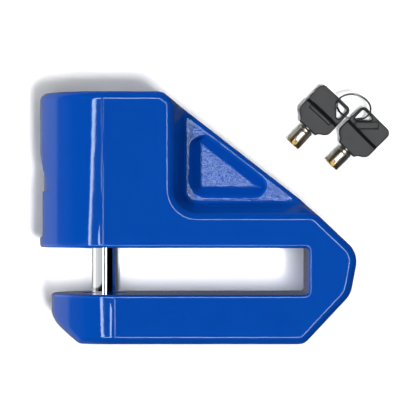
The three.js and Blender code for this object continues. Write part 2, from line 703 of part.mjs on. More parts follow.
/**
 * One key, about the middle of its ring hole: the tube points along +X and `side` is +1 or -1
 * for the side that the hole is on.
 */
function keyPieces(number, side) {
  const [insetX, insetY] = RING_HOLE_INSET;
  const far = -insetX;
  const centre = -side * (BOW_WIDTH / 2 - insetY);
  const shoulder = far + BOW_LENGTH;
  const neck = shoulder + BOW_SHOULDER;
  const half = BOW_WIDTH / 2;
  const outline = roundedOutline([
    [far, centre - half, BOW_CORNER],
    [shoulder, centre - half, BOW_CORNER],
    [neck, centre - BOW_NECK / 2, BOW_NECK_CORNER],
    [neck, centre + BOW_NECK / 2, BOW_NECK_CORNER],
    [shoulder, centre + half, BOW_CORNER],
    [far, centre + half, BOW_CORNER],
  ], 4);
  const thin = BOW_THICKNESS / 2;
  const thick = BOW_GRIP_THICKNESS / 2;
  const hole = new THREE.CylinderGeometry(
    RING_HOLE_DIAMETER / 2, RING_HOLE_DIAMETER / 2, BOW_GRIP_THICKNESS, 20).rotateX(Math.PI / 2);
  const stemRadius = KEY_STEM_DIAMETER / 2;
  const socket = rodAlong(
    stemRadius + FIT, [neck - KEY_TUBE_HELD - FIT, centre, 0], [1, 0, 0], 20, 24);
  const gripBand = block(
    [neck - BOW_GRIP_LENGTH, -BOW_WIDTH * 2, -BOW_WIDTH], [neck + 1, BOW_WIDTH * 2, BOW_WIDTH]);
  const grip = solid(raised(outline, -thick, thick, 0.6, 1)).intersect(solid(gripBand));
  const bow = solid(raised(outline, -thin, thin, 0.5, 1))
    .add(grip)
    .subtract(solid(hole))
    .subtract(solid(socket));

  const inner = tubeRadius - KEY_TUBE_WALL;
  const length = KEY_TUBE_HELD + KEY_TUBE_FREE;
  const tube = solid(turned([
    [0, 0],
    [stemRadius, 0],
    [stemRadius, KEY_TUBE_HELD + FIT],
    [tubeRadius, KEY_TUBE_HELD + FIT],
    [tubeRadius, length - 0.3],
    [tubeRadius - 0.3, length],
    [inner, length],
    [inner, length - KEY_BARREL_DEPTH],
    [0, length - KEY_BARREL_DEPTH],
  ], 32).rotateZ(-Math.PI / 2).translate(neck - KEY_TUBE_HELD, centre, 0));
  const notch = block(
    [neck + KEY_TUBE_FREE - KEY_NOTCH_LENGTH, centre - KEY_NOTCH_WIDTH / 2, inner - 1],
    [neck + KEY_TUBE_FREE + 1, centre + KEY_NOTCH_WIDTH / 2, tubeRadius + 1]);
  return [
    piece(`key_${number}_bow`, bow, 'blackPlastic'),
    piece(`key_${number}_tube`, tube.subtract(solid(notch)), 'nickel'),
  ];
}

/** The wire ring, about the middle of the chord between the two ring holes, lying along X. */
function keyRing() {
  const radius = RING_DIAMETER / 2;
  const rise = Math.sqrt(radius ** 2 - (KEY_SPREAD / 2) ** 2);
  const ring = new THREE.TorusGeometry(radius, RING_WIRE / 2, 8, 48).translate(0, rise, 0);
  return ring.rotateX(THREE.MathUtils.degToRad(RING_TILT_DEGREES));
}

// ---------------------------------------------------------------- assembly

const lock = new THREE.Group();
lock.position.z = barrelRadius;
lock.add(
  piece('lock_body', lockBody(), 'bluePaint'),
  piece('pin_guide_bush', pinGuideBush(), 'steel'),
  piece('jaw_socket', jawSocket(), 'steel'),
  piece('mouth_seal', mouthSeal(), 'rubber'),
  piece('stop_pin', stopPin(), 'steel'),
  piece('plunger_shell', plungerShell(), 'chrome'),
  piece('driver_block', driverBlock(), 'brass'),
  piece('block_pin', blockPin(), 'steel'),
  piece('core', core(), 'brass'),
  piece('cam_disc', camDisc(), 'steel'),
  piece('cam_screw', camScrew(), 'steel'),
  piece('latch_bolt', latchBolt(), 'steel'),
  piece('latch_spring', latchSpring(), 'springSteel'),
  piece('base_plug', basePlug(), 'steel'),
  piece('cross_pin', crossPin(), 'steel'),
  piece('locking_pin', lockingPin(), 'chrome'),
  piece('return_spring', returnSpring(), 'springSteel'),
);

for (let i = 0; i < TUMBLER_COUNT; i += 1) {
  const number = i + 1;
  const { x, z } = tumblerPlace(i);
  const place = { x, z, sides: 10 };
  const driverTop = blockTop - FIT / 2;
  const driverFoot = driverTop - DRIVER_LENGTH;
  const keyPinFoot = coreFoot + FIT / 2;
  const springFoot = tumblerHoleFloor + FINE_RUN;
  const spring = coil(
    tumblerRadius - TUMBLER_SPRING_WIRE, TUMBLER_SPRING_WIRE,
    springFoot, driverFoot - FINE_RUN, 5, 7, 4);
  lock.add(
    piece(`key_pin_${number}`,
      rod(tumblerRadius, keyPinFoot, keyPinFoot + KEY_PIN_LENGTHS[i], place), 'brass'),
    piece(`driver_pin_${number}`, rod(tumblerRadius, driverFoot, driverTop, place), 'steel'),
    piece(`tumbler_spring_${number}`, spring.translate(x, 0, z), 'springSteel'),
  );
}

const keySet = new THREE.Group();
keySet.position.set(REACH - KEYS_BEHIND_TIP, spineTop + KEYS_ABOVE_SPINE, tubeRadius);
const chordDirection = new THREE.Vector2(...RING_CHORD).normalize();
const ring = piece('key_ring', keyRing(), 'steel');
ring.rotation.z = chordDirection.angle();
keySet.add(ring);
[1, -1].forEach((side, i) => {
  const key = new THREE.Group();
  const along = (-side * KEY_SPREAD) / 2;
  key.position.set(chordDirection.x * along, chordDirection.y * along, 0);
  key.rotation.z = THREE.MathUtils.degToRad(KEY_HEADINGS_DEGREES[i]);
  key.add(...keyPieces(i + 1, side));
  keySet.add(key);
});

const assembly = new THREE.Group();
assembly.add(lock, keySet);
const extent = new THREE.Box3().setFromObject(assembly);
assembly.position.set(
  -(extent.min.x + extent.max.x) / 2, -(extent.min.y + extent.max.y) / 2, -extent.min.z);

export default assembly;
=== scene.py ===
"""The looks of a motorcycle disc brake lock and its keys, laid out as a Blender add-on.

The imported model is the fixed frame. Each operator makes one piece, or one group of like pieces, around it.
Lengths in the properties are in metres. Shapes are worked out in millimetres in the lock's own frame, where
the pin's axis is x = 0, z = 0 and the middle of the rotor slot is y = 0.
"""

import json
import math

import bmesh
import bpy
import numpy as np
from bpy.props import FloatProperty, PointerProperty, StringProperty
from mathutils import Matrix, Vector


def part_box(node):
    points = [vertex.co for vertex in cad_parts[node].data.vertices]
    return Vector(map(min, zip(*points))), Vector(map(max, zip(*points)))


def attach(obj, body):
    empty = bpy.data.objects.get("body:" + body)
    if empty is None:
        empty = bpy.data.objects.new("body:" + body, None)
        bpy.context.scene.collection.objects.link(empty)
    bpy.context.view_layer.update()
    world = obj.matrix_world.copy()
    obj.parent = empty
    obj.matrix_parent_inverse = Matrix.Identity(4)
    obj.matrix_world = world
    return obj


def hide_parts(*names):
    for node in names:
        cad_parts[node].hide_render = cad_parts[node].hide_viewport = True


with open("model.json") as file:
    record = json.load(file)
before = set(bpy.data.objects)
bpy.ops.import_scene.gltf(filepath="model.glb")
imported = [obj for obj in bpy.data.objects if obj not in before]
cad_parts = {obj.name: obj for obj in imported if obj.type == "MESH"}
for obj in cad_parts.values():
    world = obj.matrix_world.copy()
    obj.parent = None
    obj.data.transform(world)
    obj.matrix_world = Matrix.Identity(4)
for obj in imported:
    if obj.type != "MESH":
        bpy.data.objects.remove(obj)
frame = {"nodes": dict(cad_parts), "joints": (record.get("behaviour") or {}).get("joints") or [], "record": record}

bl_info = {
    "name": "Disc Brake Lock",
    "version": (1, 0, 0),
    "blender": (4, 5, 0),
    "location": "3D View > Sidebar > Lock",
    "description": "Builds the finished look of a disc brake lock and its keys around the packed model",
    "category": "Object",
}

MM = 1000.0  # millimetres in a metre
CLEARANCE = 0.0002  # left between a spring and the piece that moves towards it
FLAT_COSINE = math.cos(math.radians(0.15))  # a corner this close to its face's normal lies on a flat
LARGE_FACE = 2.5  # grid cells, from which a face counts as large


# ------------------------------------------------------------------ places taken from the frame

def mount_place(name):
    """The point of one of the record's mounts."""
    return next(m["pos_m"] for m in frame["record"]["mounts"] if m["name"] == name)


def joint_named(name):
    """One of the frame's joints."""
    return next(j for j in frame["joints"] if j["name"] == name)


PIN_LOW, PIN_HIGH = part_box("locking_pin")
ORIGIN = Vector((
    (PIN_LOW.x + PIN_HIGH.x) / 2,
    (mount_place("slot_barrel_face")[1] + mount_place("slot_jaw_face")[1]) / 2,
    (PIN_LOW.z + PIN_HIGH.z) / 2,
))


def in_lock(point):
    """A point of the frame, in millimetres from the lock's own origin."""
    return (Vector(point) - ORIGIN) * MM


def lock_box(node):
    """The lowest and highest corners of a CAD node, in the lock's own millimetres."""
    low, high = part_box(node)
    return in_lock(low), in_lock(high)


# ------------------------------------------------------------------ properties

def length(name, description, default, low=0.0, high=0.2):
    """A length property, in metres."""
    return FloatProperty(name=name, description=description, default=default, min=low, max=high,
                         unit="LENGTH", subtype="DISTANCE", precision=5)


def number(name, description, default):
    """A plain number property."""
    return FloatProperty(name=name, description=description, default=default, min=0.0, max=100.0)


def angle(name, description, degrees):
    """An angle property, with its default in degrees."""
    return FloatProperty(name=name, description=description, default=math.radians(degrees),
                         min=-math.pi, max=math.pi, unit="ROTATION", subtype="ANGLE")


def in_mm(group):
    """The values of a property group, in millimetres where they are lengths."""
    values = {}
    for key, entry in group.__annotations__.items():
        is_length = entry.keywords.get("unit") == "LENGTH"
        values[key] = getattr(group, key) * (MM if is_length else 1)
    return values


def colour(name, description, default):
    """A colour property, an sRGB hex value."""
    return StringProperty(name=name, description=description, default=default)


class LockBodySizes(bpy.types.PropertyGroup):
    """Sizes of the cast body that the frame's box doesn't give."""
    edge: length("Outer edges", "Radius along the outer edges", 0.003)
    slot_edge: length("Slot edges", "Radius along the rotor slot", 0.001)
    slot_corner: length("Slot corners", "Radius at the closed end of the slot", 0.0012)
    jaw_setback: length("Jaw setback", "How far the jaw's round end stands behind the barrel", 0.0045)
    jaw_chamfer: length("Jaw chamfer", "Height of the slope under the jaw's tip", 0.010)
    nose: length("Nose", "Radius of the nose's corners", 0.009)
    slope_end: length("Slope end", "Tip of the nose to the lower end of the slope", 0.0214)
    spine: length("Spine", "Slot to the foot of the slope", 0.0182)
    nose_wall: length("Nose wall", "End of the slot to the tip of the nose", 0.0198)
    collar: length("Collar", "Pin's axis to the upper end of the slope", 0.0225)
    web: length("Web", "Thickness of the web", 0.024)
    web_draft: length("Web draft", "Width of the sloping walls around the web", 0.0048)
    web_left: length("Web left", "Pin's axis to the top of the wall along the barrel", 0.0262)
    web_foot: length("Web foot", "Slot to the top of the wall along the spine", 0.0124)
    web_edge: length("Web edge", "Radius along the web's edges", 0.0020)
    web_corner: length("Web corner", "Radius of the web's inner corner", 0.009)
    pocket: length("Pocket", "Depth of the inner pocket", 0.004)
    pocket_draft: length("Pocket draft", "Width of the pocket's sloping walls", 0.0036)
    pocket_rim: length("Pocket rim", "Flat strip around the pocket", 0.0024)
    slope_rim: length("Slope rim", "Rim between the slope and the pocket", 0.0026)
    pocket_corner: length("Pocket corner", "Radius of the pocket's corners", 0.003)
    panel_depth: length("Panel depth", "Depth of the arrow panel in the barrel's end", 0.0015)
    panel_half: length("Panel width", "Half width of the arrow's head", 0.0138)
    panel_stem_half: length("Panel stem", "Half width of the arrow's stem", 0.008)
    panel_head: length("Panel head", "Length of the arrow's head", 0.0215)
    panel_stem: length("Panel stem length", "Length of the arrow's stem", 0.0176)
    panel_foot: length("Panel foot", "Slot to the panel's lower end", 0.004)
    dip: length("Dip", "How much lower each face of the body is at the slot than at the top", 0.00057)
    face_edge: length("Face edge", "Softness of the line where the faces meet the round end", 0.00035)
    grid: length("Grid", "Spacing of the grid that the surface is found on", 0.0005, 0.0002, 0.002)


class LockPinSizes(bpy.types.PropertyGroup):
    """Sizes of the locking pin, the plunger and their seats that the frame's boxes don't give."""
    fit: length("Fit", "Gap between pieces that touch", 0.0003)
    pin_tip: length("Pin tip", "Radius around the locking pin's tip", 0.0016)
    shell_edge: length("Plunger edge", "Radius around the plunger's face", 0.0011)
    stop_slot: length("Stop slot", "Depth of the slot that the stop pin runs in", 0.0022)
    keyway: length("Keyway", "Depth of the keyway", 0.0063)
    keyway_radius: length("Keyway radius", "Radius of the keyway", 0.0033)
    notch_width: length("Notch width", "Width of the keyway's notch", 0.0016)
    notch_depth: length("Notch depth", "Keyway's edge to the bottom of its notch", 0.0009)
    block_pin: length("Block pin", "Radius of the hole for the driver block's pin", 0.0013)
    small_edge: length("Small edges", "Radius along turned edges", 0.0003)
    grid: length("Grid", "Spacing of the grid that the surfaces are found on", 0.0003, 0.0001, 0.001)


class KeySizes(bpy.types.PropertyGroup):
    """Sizes of the two keys and their ring."""
    inset_far: length("Hole to far edge", "Ring hole's middle to the bow's far edge", 0.0035)
    inset_side: length("Hole to side", "Ring hole's middle to the bow's side", 0.0039)
    width: length("Bow width", "Width of the bow", 0.0158)
    flat: length("Bow length", "Far edge to the shoulders", 0.0134)
    shoulder: length("Shoulders", "Shoulders, along the key", 0.0038)
    neck: length("Neck", "Width of the neck", 0.0084)
    corner: length("Corners", "Radius of the bow's corners", 0.0023)
    thin: length("Rim thickness", "Thickness around the ring hole", 0.0016)
    thick: length("Grip thickness", "Thickness between the ring hole and the tube", 0.0052)
    grip: length("Grip", "Length of the thick part", 0.0076)
    ramp: length("Ramp", "Width of the slope between the thin and the thick part", 0.0016)
    edge: length("Edges", "Radius along the bow's edges", 0.0005)
    scallop: length("Scallops", "Radius of the scallops beside the tube", 0.0019)
    scallop_out: length("Scallop place", "Middle of the key to the middle of each scallop", 0.0063)
    hole_leg: length("Hole leg", "Legs of the three-cornered ring hole", 0.0062)
    hole_rim: length("Hole rim", "Bow's edges to the ring hole", 0.00125)
    hole_edge: length("Hole edge", "Radius along the ring hole's edges", 0.0007)
    bar_rise: length("Bar rise", "Height of the raised bar on the bow", 0.0003)
    stem: length("Stem", "Radius of the tube's stem inside the bow", 0.0018)
    tube: length("Tube", "Radius of the tube", 0.003)
    tube_wall: length("Tube wall", "Wall of the tube", 0.00085)
    tube_free: length("Tube length", "Tube that stands out of the bow", 0.0086)
    tube_held: length("Tube held", "Tube inside the bow", 0.006)
    notch: length("Tube notch", "Length of the notch in the tube's rim", 0.0022)
    notch_width: length("Tube notch width", "Width of the notch in the tube's rim", 0.001)
    ring_radius: length("Ring radius", "Radius of the ring to the middle of its wire", 0.0067)
    ring_wire: length("Ring wire", "Radius of the ring's wire", 0.00035)
    ring_tilt: angle("Ring tilt", "How far the ring stands up from the ground", 47)
    key_1_heading: angle("Key 1 heading", "Direction of the first key's tube, in plan", -133)
    key_2_heading: angle("Key 2 heading", "Direction of the second key's tube, in plan", -135.3)
    grid: length("Grid", "Spacing of the grid that the surfaces are found on", 0.00018, 0.0001, 0.001)


class SpringSizes(bpy.types.PropertyGroup):
    """Sizes of the coil springs; their ends come from the frame's boxes."""
    return_wire: length("Return wire", "Radius of the return spring's wire", 0.0006)
    return_turns: number("Return turns", "Turns of the return spring", 5.0)
    latch_wire: length("Latch wire", "Radius of the latch spring's wire", 0.0002)
    latch_turns: number("Latch turns", "Turns of the latch spring", 8.0)
    tumbler_wire: length("Tumbler wire", "Radius of the tumbler springs' wire", 0.00012)
    tumbler_turns: number("Tumbler turns", "Turns of each tumbler spring", 5.0)


class LockColours(bpy.types.PropertyGroup):
    """Colours of the finishes, as sRGB hex values."""
    paint: colour("Paint", "Blue enamel", "#033F9C")
    paint_thin: colour("Thin paint", "Blue enamel where it runs thin over an edge", "#03449F")
    chrome: colour("Chrome", "Chromium plate", "#D9DCE0")
    steel: colour("Steel", "Turned steel", "#9A9C9E")
    spring: colour("Spring", "Spring wire", "#6E7175")
    brass: colour("Brass", "Turned brass", "#C9A04A")
    nickel: colour("Nickel", "Nickel plate over brass", "#DAD4C2")
    worn_brass: colour("Worn brass", "Brass where the nickel is worn through", "#D9A93C")
    plastic: colour("Plastic", "Moulded ABS", "#17181A")
    rubber: colour("Rubber", "Nitrile rubber", "#101011")
    floor: colour("Floor", "Plain pale floor", "#F2F2F2")


# ------------------------------------------------------------------ distance fields
# A field is negative inside the metal. Each works on arrays that broadcast, so the same code fills a
# grid and follows single points.

def filleted(a, b, radius, cosine=0.0):
    """Where two fields both hold, with the edge between them rounded; cosine is of their normals' angle."""
    u = a + radius
    v = b + radius
    reach = np.sqrt(np.maximum(u * u + v * v - 2 * u * v * cosine, 0) / (1 - cosine * cosine))
    in_wedge = (u > v * cosine) & (v > u * cosine)
    return np.where(in_wedge, reach - radius, np.maximum(a, b))


def blended(a, b, softness):
    """Where two fields both hold, with the crease between them softened."""
    return 0.5 * (a + b + np.sqrt((a - b) ** 2 + softness * softness))


def carved(body, tool, radius):
    """A body with a tool's shape cut away and the new edge rounded."""
    return filleted(body, -tool, radius)


def plane(x, y, through, normal):
    """Distance in front of a line in the side view."""
    return (x - through[0]) * normal[0] + (y - through[1]) * normal[1]


def unit(x, y):
    """A direction in the side view, of length one."""
    size = math.hypot(x, y)
    return (x / size, y / size)


def rounded_polygon(x, y, corners):
    """A convex outline, given anticlockwise as (x, y, radius)."""
    count = len(corners)
    sides = []
    for i, (px, py, _) in enumerate(corners):
        qx, qy, _ = corners[(i + 1) % count]
        sides.append(((px, py), unit(qy - py, px - qx)))
    field = None
    for i, (_, _, radius) in enumerate(corners):
        before = sides[i - 1]
        after = sides[i]
        cosine = before[1][0] * after[1][0] + before[1][1] * after[1][1]
        corner = filleted(plane(x, y, *before), plane(x, y, *after), max(radius, 1e-3), cosine)
        field = corner if field is None else np.maximum(field, corner)
    return field


def box_field(x, y, z, low, high):
    """A plain block between two corners."""
    middle = [(a + b) / 2 for a, b in zip(low, high)]
    half = [(b - a) / 2 for a, b in zip(low, high)]
    return np.maximum(np.maximum(abs(x - middle[0]) - half[0], abs(y - middle[1]) - half[1]),
                      abs(z - middle[2]) - half[2])


def rod_field(x, y, z, radius, y0, y1):
    """A round bar about the pin's axis."""
    return np.maximum(np.hypot(x, z) - radius, np.maximum(y0 - y, y - y1))


# ------------------------------------------------------------------ surface from a field

def grid_axes(low, high, step):
    """Grid lines along each axis, one cell past the shape on every side."""
    return [np.arange(a - 1.5 * step, b + 2.5 * step, step) for a, b in zip(low, high)]


def surface_of(field, low, high, step):
    """The closed quad surface where a field is zero: one vertex in each cell that the surface crosses."""
    xs, ys, zs = grid_axes(low, high, step)
    values = field(xs[:, None, None], ys[None, :, None], zs[None, None, :])
    values = np.broadcast_to(values, (len(xs), len(ys), len(zs))).astype(np.float32)
    inside = values < 0
    cells = tuple(n - 1 for n in inside.shape)
    total = np.zeros(cells + (3,), np.float32)
    crossings = np.zeros(cells, np.float32)
    quads = []
    for axis in range(3):
        near = [slice(None)] * 3
        far = [slice(None)] * 3
        near[axis] = slice(0, -1)
        far[axis] = slice(1, None)
        a = values[tuple(near)]
        b = values[tuple(far)]
        crossed = inside[tuple(near)] != inside[tuple(far)]
        where = np.argwhere(crossed)
        ratio = a[crossed] / (a[crossed] - b[crossed])
        point = where.astype(np.float32)
        point[:, axis] += ratio
        others = [k for k in range(3) if k != axis]
        around = []
        for du, dv in ((0, 0), (-1, 0), (-1, -1), (0, -1)):
            cell = where.copy()
            cell[:, others[0]] += du
            cell[:, others[1]] += dv
            around.append(cell)
            np.add.at(total, tuple(cell.T), point)
            np.add.at(crossings, tuple(cell.T), 1)
        outward = inside[tuple(near)][crossed]
        if axis == 1:
            outward = ~outward
        quads.append((around, outward))
    numbered = -np.ones(cells, np.int64)
    used = crossings > 0
    numbered[used] = np.arange(used.sum())
    vertices = total[used] / crossings[used][:, None]
    start = np.array([xs[0], ys[0], zs[0]])
    vertices = vertices.astype(float) * step + start
    faces = []
    for around, outward in quads:
        ring = np.stack([numbered[tuple(cell.T)] for cell in around], axis=1)
        ring[~outward] = ring[~outward][:, ::-1]
        faces.append(ring)
    return vertices, np.concatenate(faces)


def slopes(field, points, h):
    """Unit normals of a field at points, by central differences."""
    found = np.empty_like(points)
    for axis in range(3):
        shift = np.zeros(3)
        shift[axis] = h
        found[:, axis] = field(*(points + shift).T) - field(*(points - shift).T)
    size = np.linalg.norm(found, axis=1, keepdims=True)
    return found / np.maximum(size, 1e-9)


def settled(field, points, step, rounds=2):
    """Points moved along the normal onto the surface, never further than half a cell."""
    start = points.copy()
    for _ in range(rounds):
        normals = slopes(field, points, step * 0.2)
        gap = np.clip(field(*points.T), -step / 2, step / 2)
        points = points - normals * gap[:, None]
    moved = points - start
    size = np.linalg.norm(moved, axis=1, keepdims=True)
    return start + moved * np.minimum(1, step * 0.8 / np.maximum(size, 1e-9))


def corner_normals(mesh, normals, large):
    """A normal for each corner of each face: the field's own, except on a large flat face, where the
    rounding of an edge beside it would otherwise shade the whole of it."""
    vertices = np.empty(len(mesh.loops), np.int32)
    mesh.loops.foreach_get("vertex_index", vertices)
    count = len(mesh.polygons)
    starts, sizes = np.empty(count, np.int32), np.empty(count, np.int32)
    areas, facing = np.empty(count), np.empty(count * 3)
    mesh.polygons.foreach_get("loop_start", starts)
    mesh.polygons.foreach_get("loop_total", sizes)
    mesh.polygons.foreach_get("area", areas)
    mesh.polygons.foreach_get("normal", facing)
    facing = np.repeat(facing.reshape(-1, 3), sizes, axis=0)
    found = normals[vertices]
    level = (found * facing).sum(axis=1) > FLAT_COSINE
    flat = (areas > large) & np.logical_or.reduceat(level, starts)
    return np.where(np.repeat(flat, sizes)[:, None], facing, found)


def mesh_from_field(name, field, low, high, step, place=None, flat_angle=0.35):
    """A mesh of a field's surface, set into the frame, with flats merged and normals taken from the field.

    The place turns the field's millimetres into the frame's, and is the lock's own if not given. Faces
    whose normals differ by less than the flat angle, in degrees, are merged."""
    points, faces = surface_of(field, low, high, step)
    points = settled(field, points, step)
    mesh = bpy.data.meshes.new(name)
    mesh.from_pydata(points.tolist(), [], faces.tolist())
    work = bmesh.new()
    work.from_mesh(mesh)
    bmesh.ops.dissolve_limit(work, angle_limit=math.radians(flat_angle), use_dissolve_boundaries=False,
                             verts=work.verts, edges=work.edges, delimit=set())
    bmesh.ops.triangulate(work, faces=[f for f in work.faces if len(f.verts) > 4])
    work.to_mesh(mesh)
    work.free()
    kept = np.empty(len(mesh.vertices) * 3)
    mesh.vertices.foreach_get("co", kept)
    normals = slopes(field, kept.reshape(-1, 3), step * 0.25)
    mesh.polygons.foreach_set("use_smooth", [True] * len(mesh.polygons))
    mesh.normals_split_custom_set(corner_normals(mesh, normals, LARGE_FACE * step ** 2).tolist())
    mesh.transform((place or Matrix.Translation(ORIGIN)) @ Matrix.Scale(1 / MM, 4))
    mesh.update()
    piece = bpy.data.objects.new(name, mesh)
    bpy.context.scene.collection.objects.link(piece)
    return piece


# ------------------------------------------------------------------ materials

def linear(code):
    """An sRGB hex value as linear RGBA."""
    parts = [int(code[i:i + 2], 16) / 255 for i in (1, 3, 5)]
    return tuple(c / 12.92 if c <= 0.04045 else ((c + 0.055) / 1.055) ** 2.4 for c in parts) + (1.0,)


def add_node(tree, kind, settings=None, links=None, **attributes):
    """Adds a node, sets its sockets by name or number, and links other nodes' outputs to it."""
    node = tree.nodes.new(kind)
    for key, value in attributes.items():
        setattr(node, key, value)
    for key, value in (settings or {}).items():
        node.inputs[key].default_value = value
    for key, source in (links or {}).items():
        tree.links.new(source, node.inputs[key])
    return node


def new_material(name):
    """An empty node material with its output, and Object coordinates to start from."""
    material = bpy.data.materials.new(name)
    material.use_nodes = True
    tree = material.node_tree
    tree.nodes.clear()
    place = add_node(tree, "ShaderNodeTexCoord").outputs["Object"]
    return material, tree, place


def finish_material(tree, shader):
    """Ends a material in its shader."""
    add_node(tree, "ShaderNodeOutputMaterial", links={"Surface": shader.outputs[0]})


def per_mm(size):
    """The scale of a noise whose features are about this many millimetres across."""
    return MM / size


def enamel():
    """Gloss stoving enamel, sprayed over a casting and baked.

    It gives the eye one deep even blue under a clear gloss, whose reflections run thin and sharp along the
    edges and waver a little: a fine orange peel over slow waves, and the casting's grain in the recess. The
    peel is drawn coarser than the real 0.3 mm or so, because it would be too fine to see.
    """
    colours = bpy.context.scene.lock_colours
    material, tree, place = new_material("enamel_gloss_blue")
    peel = add_node(tree, "ShaderNodeTexNoise", {"Scale": per_mm(0.9), "Detail": 2.0, "Roughness": 0.5},
                    {"Vector": place})
    waves = add_node(tree, "ShaderNodeTexNoise", {"Scale": per_mm(11), "Detail": 1.0}, {"Vector": place})
    lumps = add_node(tree, "ShaderNodeTexNoise", {"Scale": per_mm(1.7), "Detail": 3.0, "Roughness": 0.6},
                     {"Vector": place})
    rough = add_node(tree, "ShaderNodeAttribute", attribute_name="rough_casting")
    cast = add_node(tree, "ShaderNodeMath", {}, {0: lumps.outputs["Fac"], 1: rough.outputs["Fac"]},
                    operation="MULTIPLY")
    wavy = add_node(tree, "ShaderNodeBump", {"Strength": 1.0, "Distance": 0.00008},
                    {"Height": waves.outputs["Fac"]})
    peeled = add_node(tree, "ShaderNodeBump", {"Strength": 1.0, "Distance": 0.000014},
                      {"Height": peel.outputs["Fac"], "Normal": wavy.outputs[0]})
    bump = add_node(tree, "ShaderNodeBump", {"Strength": 1.0, "Distance": 0.00042},
                    {"Height": cast.outputs[0], "Normal": peeled.outputs[0]})
    tint = add_node(tree, "ShaderNodeMix", {6: linear(colours.paint), 7: linear(colours.paint_thin)},
                    {0: waves.outputs["Fac"]}, data_type="RGBA")
    shader = add_node(
        tree, "ShaderNodeBsdfPrincipled",
        {"Metallic": 0.0, "Roughness": 0.07, "IOR": 1.5, "Specular Tint": (0.8, 0.97, 1.0, 1.0)},
        {"Base Color": tint.outputs[2], "Normal": bump.outputs[0]})
    finish_material(tree, shader)
    return material


def plated(name, code, roughness, brushed=0.0):
    """A plated or turned metal: a hard reflection, slightly uneven, with faint turning marks when asked.

    The marks are drawn as coarse as half a millimetre, because real ones would be too fine to see.
    """
    material, tree, place = new_material(name)
    smear = add_node(tree, "ShaderNodeTexNoise", {"Scale": per_mm(6), "Detail": 3.0}, {"Vector": place})
    gloss = add_node(tree, "ShaderNodeMapRange", {3: roughness * 0.75, 4: roughness * 1.35},
                     {0: smear.outputs["Fac"]})
    links = {"Roughness": gloss.outputs[0]}
    if brushed:
        wave = add_node(tree, "ShaderNodeTexNoise", {"Scale": per_mm(0.5), "Detail": 2.0},
                        {"Vector": place})
        bump = add_node(tree, "ShaderNodeBump", {"Strength": brushed, "Distance": 0.0001},
                        {"Height": wave.outputs["Fac"]})
        links["Normal"] = bump.outputs[0]
    shader = add_node(tree, "ShaderNodeBsdfPrincipled", {"Base Color": linear(code), "Metallic": 1.0},
                      links)
    finish_material(tree, shader)
    return material


def worn_nickel():
    """Nickel plated over brass: a warm bright grey with a broad white gleam along the tube, worn through to
    yellow brass at the open rim of the key."""
    colours = bpy.context.scene.lock_colours
    material, tree, place = new_material("nickel_plate_worn")
    worn = add_node(tree, "ShaderNodeAttribute", attribute_name="worn")
    patches = add_node(tree, "ShaderNodeTexNoise", {"Scale": per_mm(1.2), "Detail": 3.0}, {"Vector": place})
    spread = add_node(tree, "ShaderNodeMath", {1: 0.9}, {0: patches.outputs["Fac"]}, operation="MULTIPLY")
    through = add_node(tree, "ShaderNodeMath", {}, {0: worn.outputs["Fac"], 1: spread.outputs[0]},
                       operation="ADD")
    share = add_node(tree, "ShaderNodeMapRange", {1: 0.95, 2: 1.4, 3: 0.0, 4: 1.0},
                     {0: through.outputs[0]})
    tint = add_node(tree, "ShaderNodeMix", {6: linear(colours.nickel), 7: linear(colours.worn_brass)},
                    {0: share.outputs[0]}, data_type="RGBA")
    gloss = add_node(tree, "ShaderNodeMapRange", {3: 0.3, 4: 0.42}, {0: patches.outputs["Fac"]})
    shader = add_node(tree, "ShaderNodeBsdfPrincipled", {"Metallic": 1.0},
                      {"Base Color": tint.outputs[2], "Roughness": gloss.outputs[0]})
    finish_material(tree, shader)
    return material


def moulded_abs():
    """ABS moulded in a spark-eroded tool: black and half matt, so edges show as soft grey lines.

    Its grain is drawn a little coarser than the real one, because it would be too fine to see.
    """
    material, tree, place = new_material("abs_moulded_black")
    grain = add_node(tree, "ShaderNodeTexNoise", {"Scale": per_mm(0.35), "Detail": 3.0}, {"Vector": place})
    bump = add_node(tree, "ShaderNodeBump", {"Strength": 0.25, "Distance": 0.0001},
                    {"Height": grain.outputs["Fac"]})
    gloss = add_node(tree, "ShaderNodeMapRange", {3: 0.42, 4: 0.6}, {0: grain.outputs["Fac"]})
    shader = add_node(
        tree, "ShaderNodeBsdfPrincipled",
        {"Base Color": linear(bpy.context.scene.lock_colours.plastic), "IOR": 1.54},
        {"Roughness": gloss.outputs[0], "Normal": bump.outputs[0]})
    finish_material(tree, shader)
    return material


def nitrile():
    """Nitrile rubber: black and dull, with a faint bloom."""
    material, tree, place = new_material("rubber_nitrile_black")
    bloom = add_node(tree, "ShaderNodeTexNoise", {"Scale": per_mm(2), "Detail": 3.0}, {"Vector": place})
    gloss = add_node(tree, "ShaderNodeMapRange", {3: 0.7, 4: 0.9}, {0: bloom.outputs["Fac"]})
    shader = add_node(
        tree, "ShaderNodeBsdfPrincipled", {"Base Color": linear(bpy.context.scene.lock_colours.rubber)},
        {"Roughness": gloss.outputs[0]})
    finish_material(tree, shader)
    return material


_finishes = {}


def finish_for(slot):
    """The material of one of the record's slots, made once."""
    colours = bpy.context.scene.lock_colours
    makers = {
        "blue_paint": enamel,
        "chrome": lambda: plated("chrome_plate_polished", colours.chrome, 0.05),
        "steel": lambda: plated("steel_turned", colours.steel, 0.28, 0.15),
        "spring_steel": lambda: plated("spring_wire_oiled", colours.spring, 0.35, 0.1),
        "brass": lambda: plated("brass_turned", colours.brass, 0.22, 0.15),
        "nickel": worn_nickel,
        "black_plastic": moulded_abs,
        "rubber": nitrile,
    }
    if slot not in _finishes:
        _finishes[slot] = makers[slot]()
    return _finishes[slot]


def settle_piece(piece, body, slot, nodes):
    """Gives a finished piece its material, its body and the CAD nodes that it stands for."""
    if not piece.data.materials:
        piece.data.materials.append(finish_for(slot))
    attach(piece, body)
    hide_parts(*nodes)
    return piece


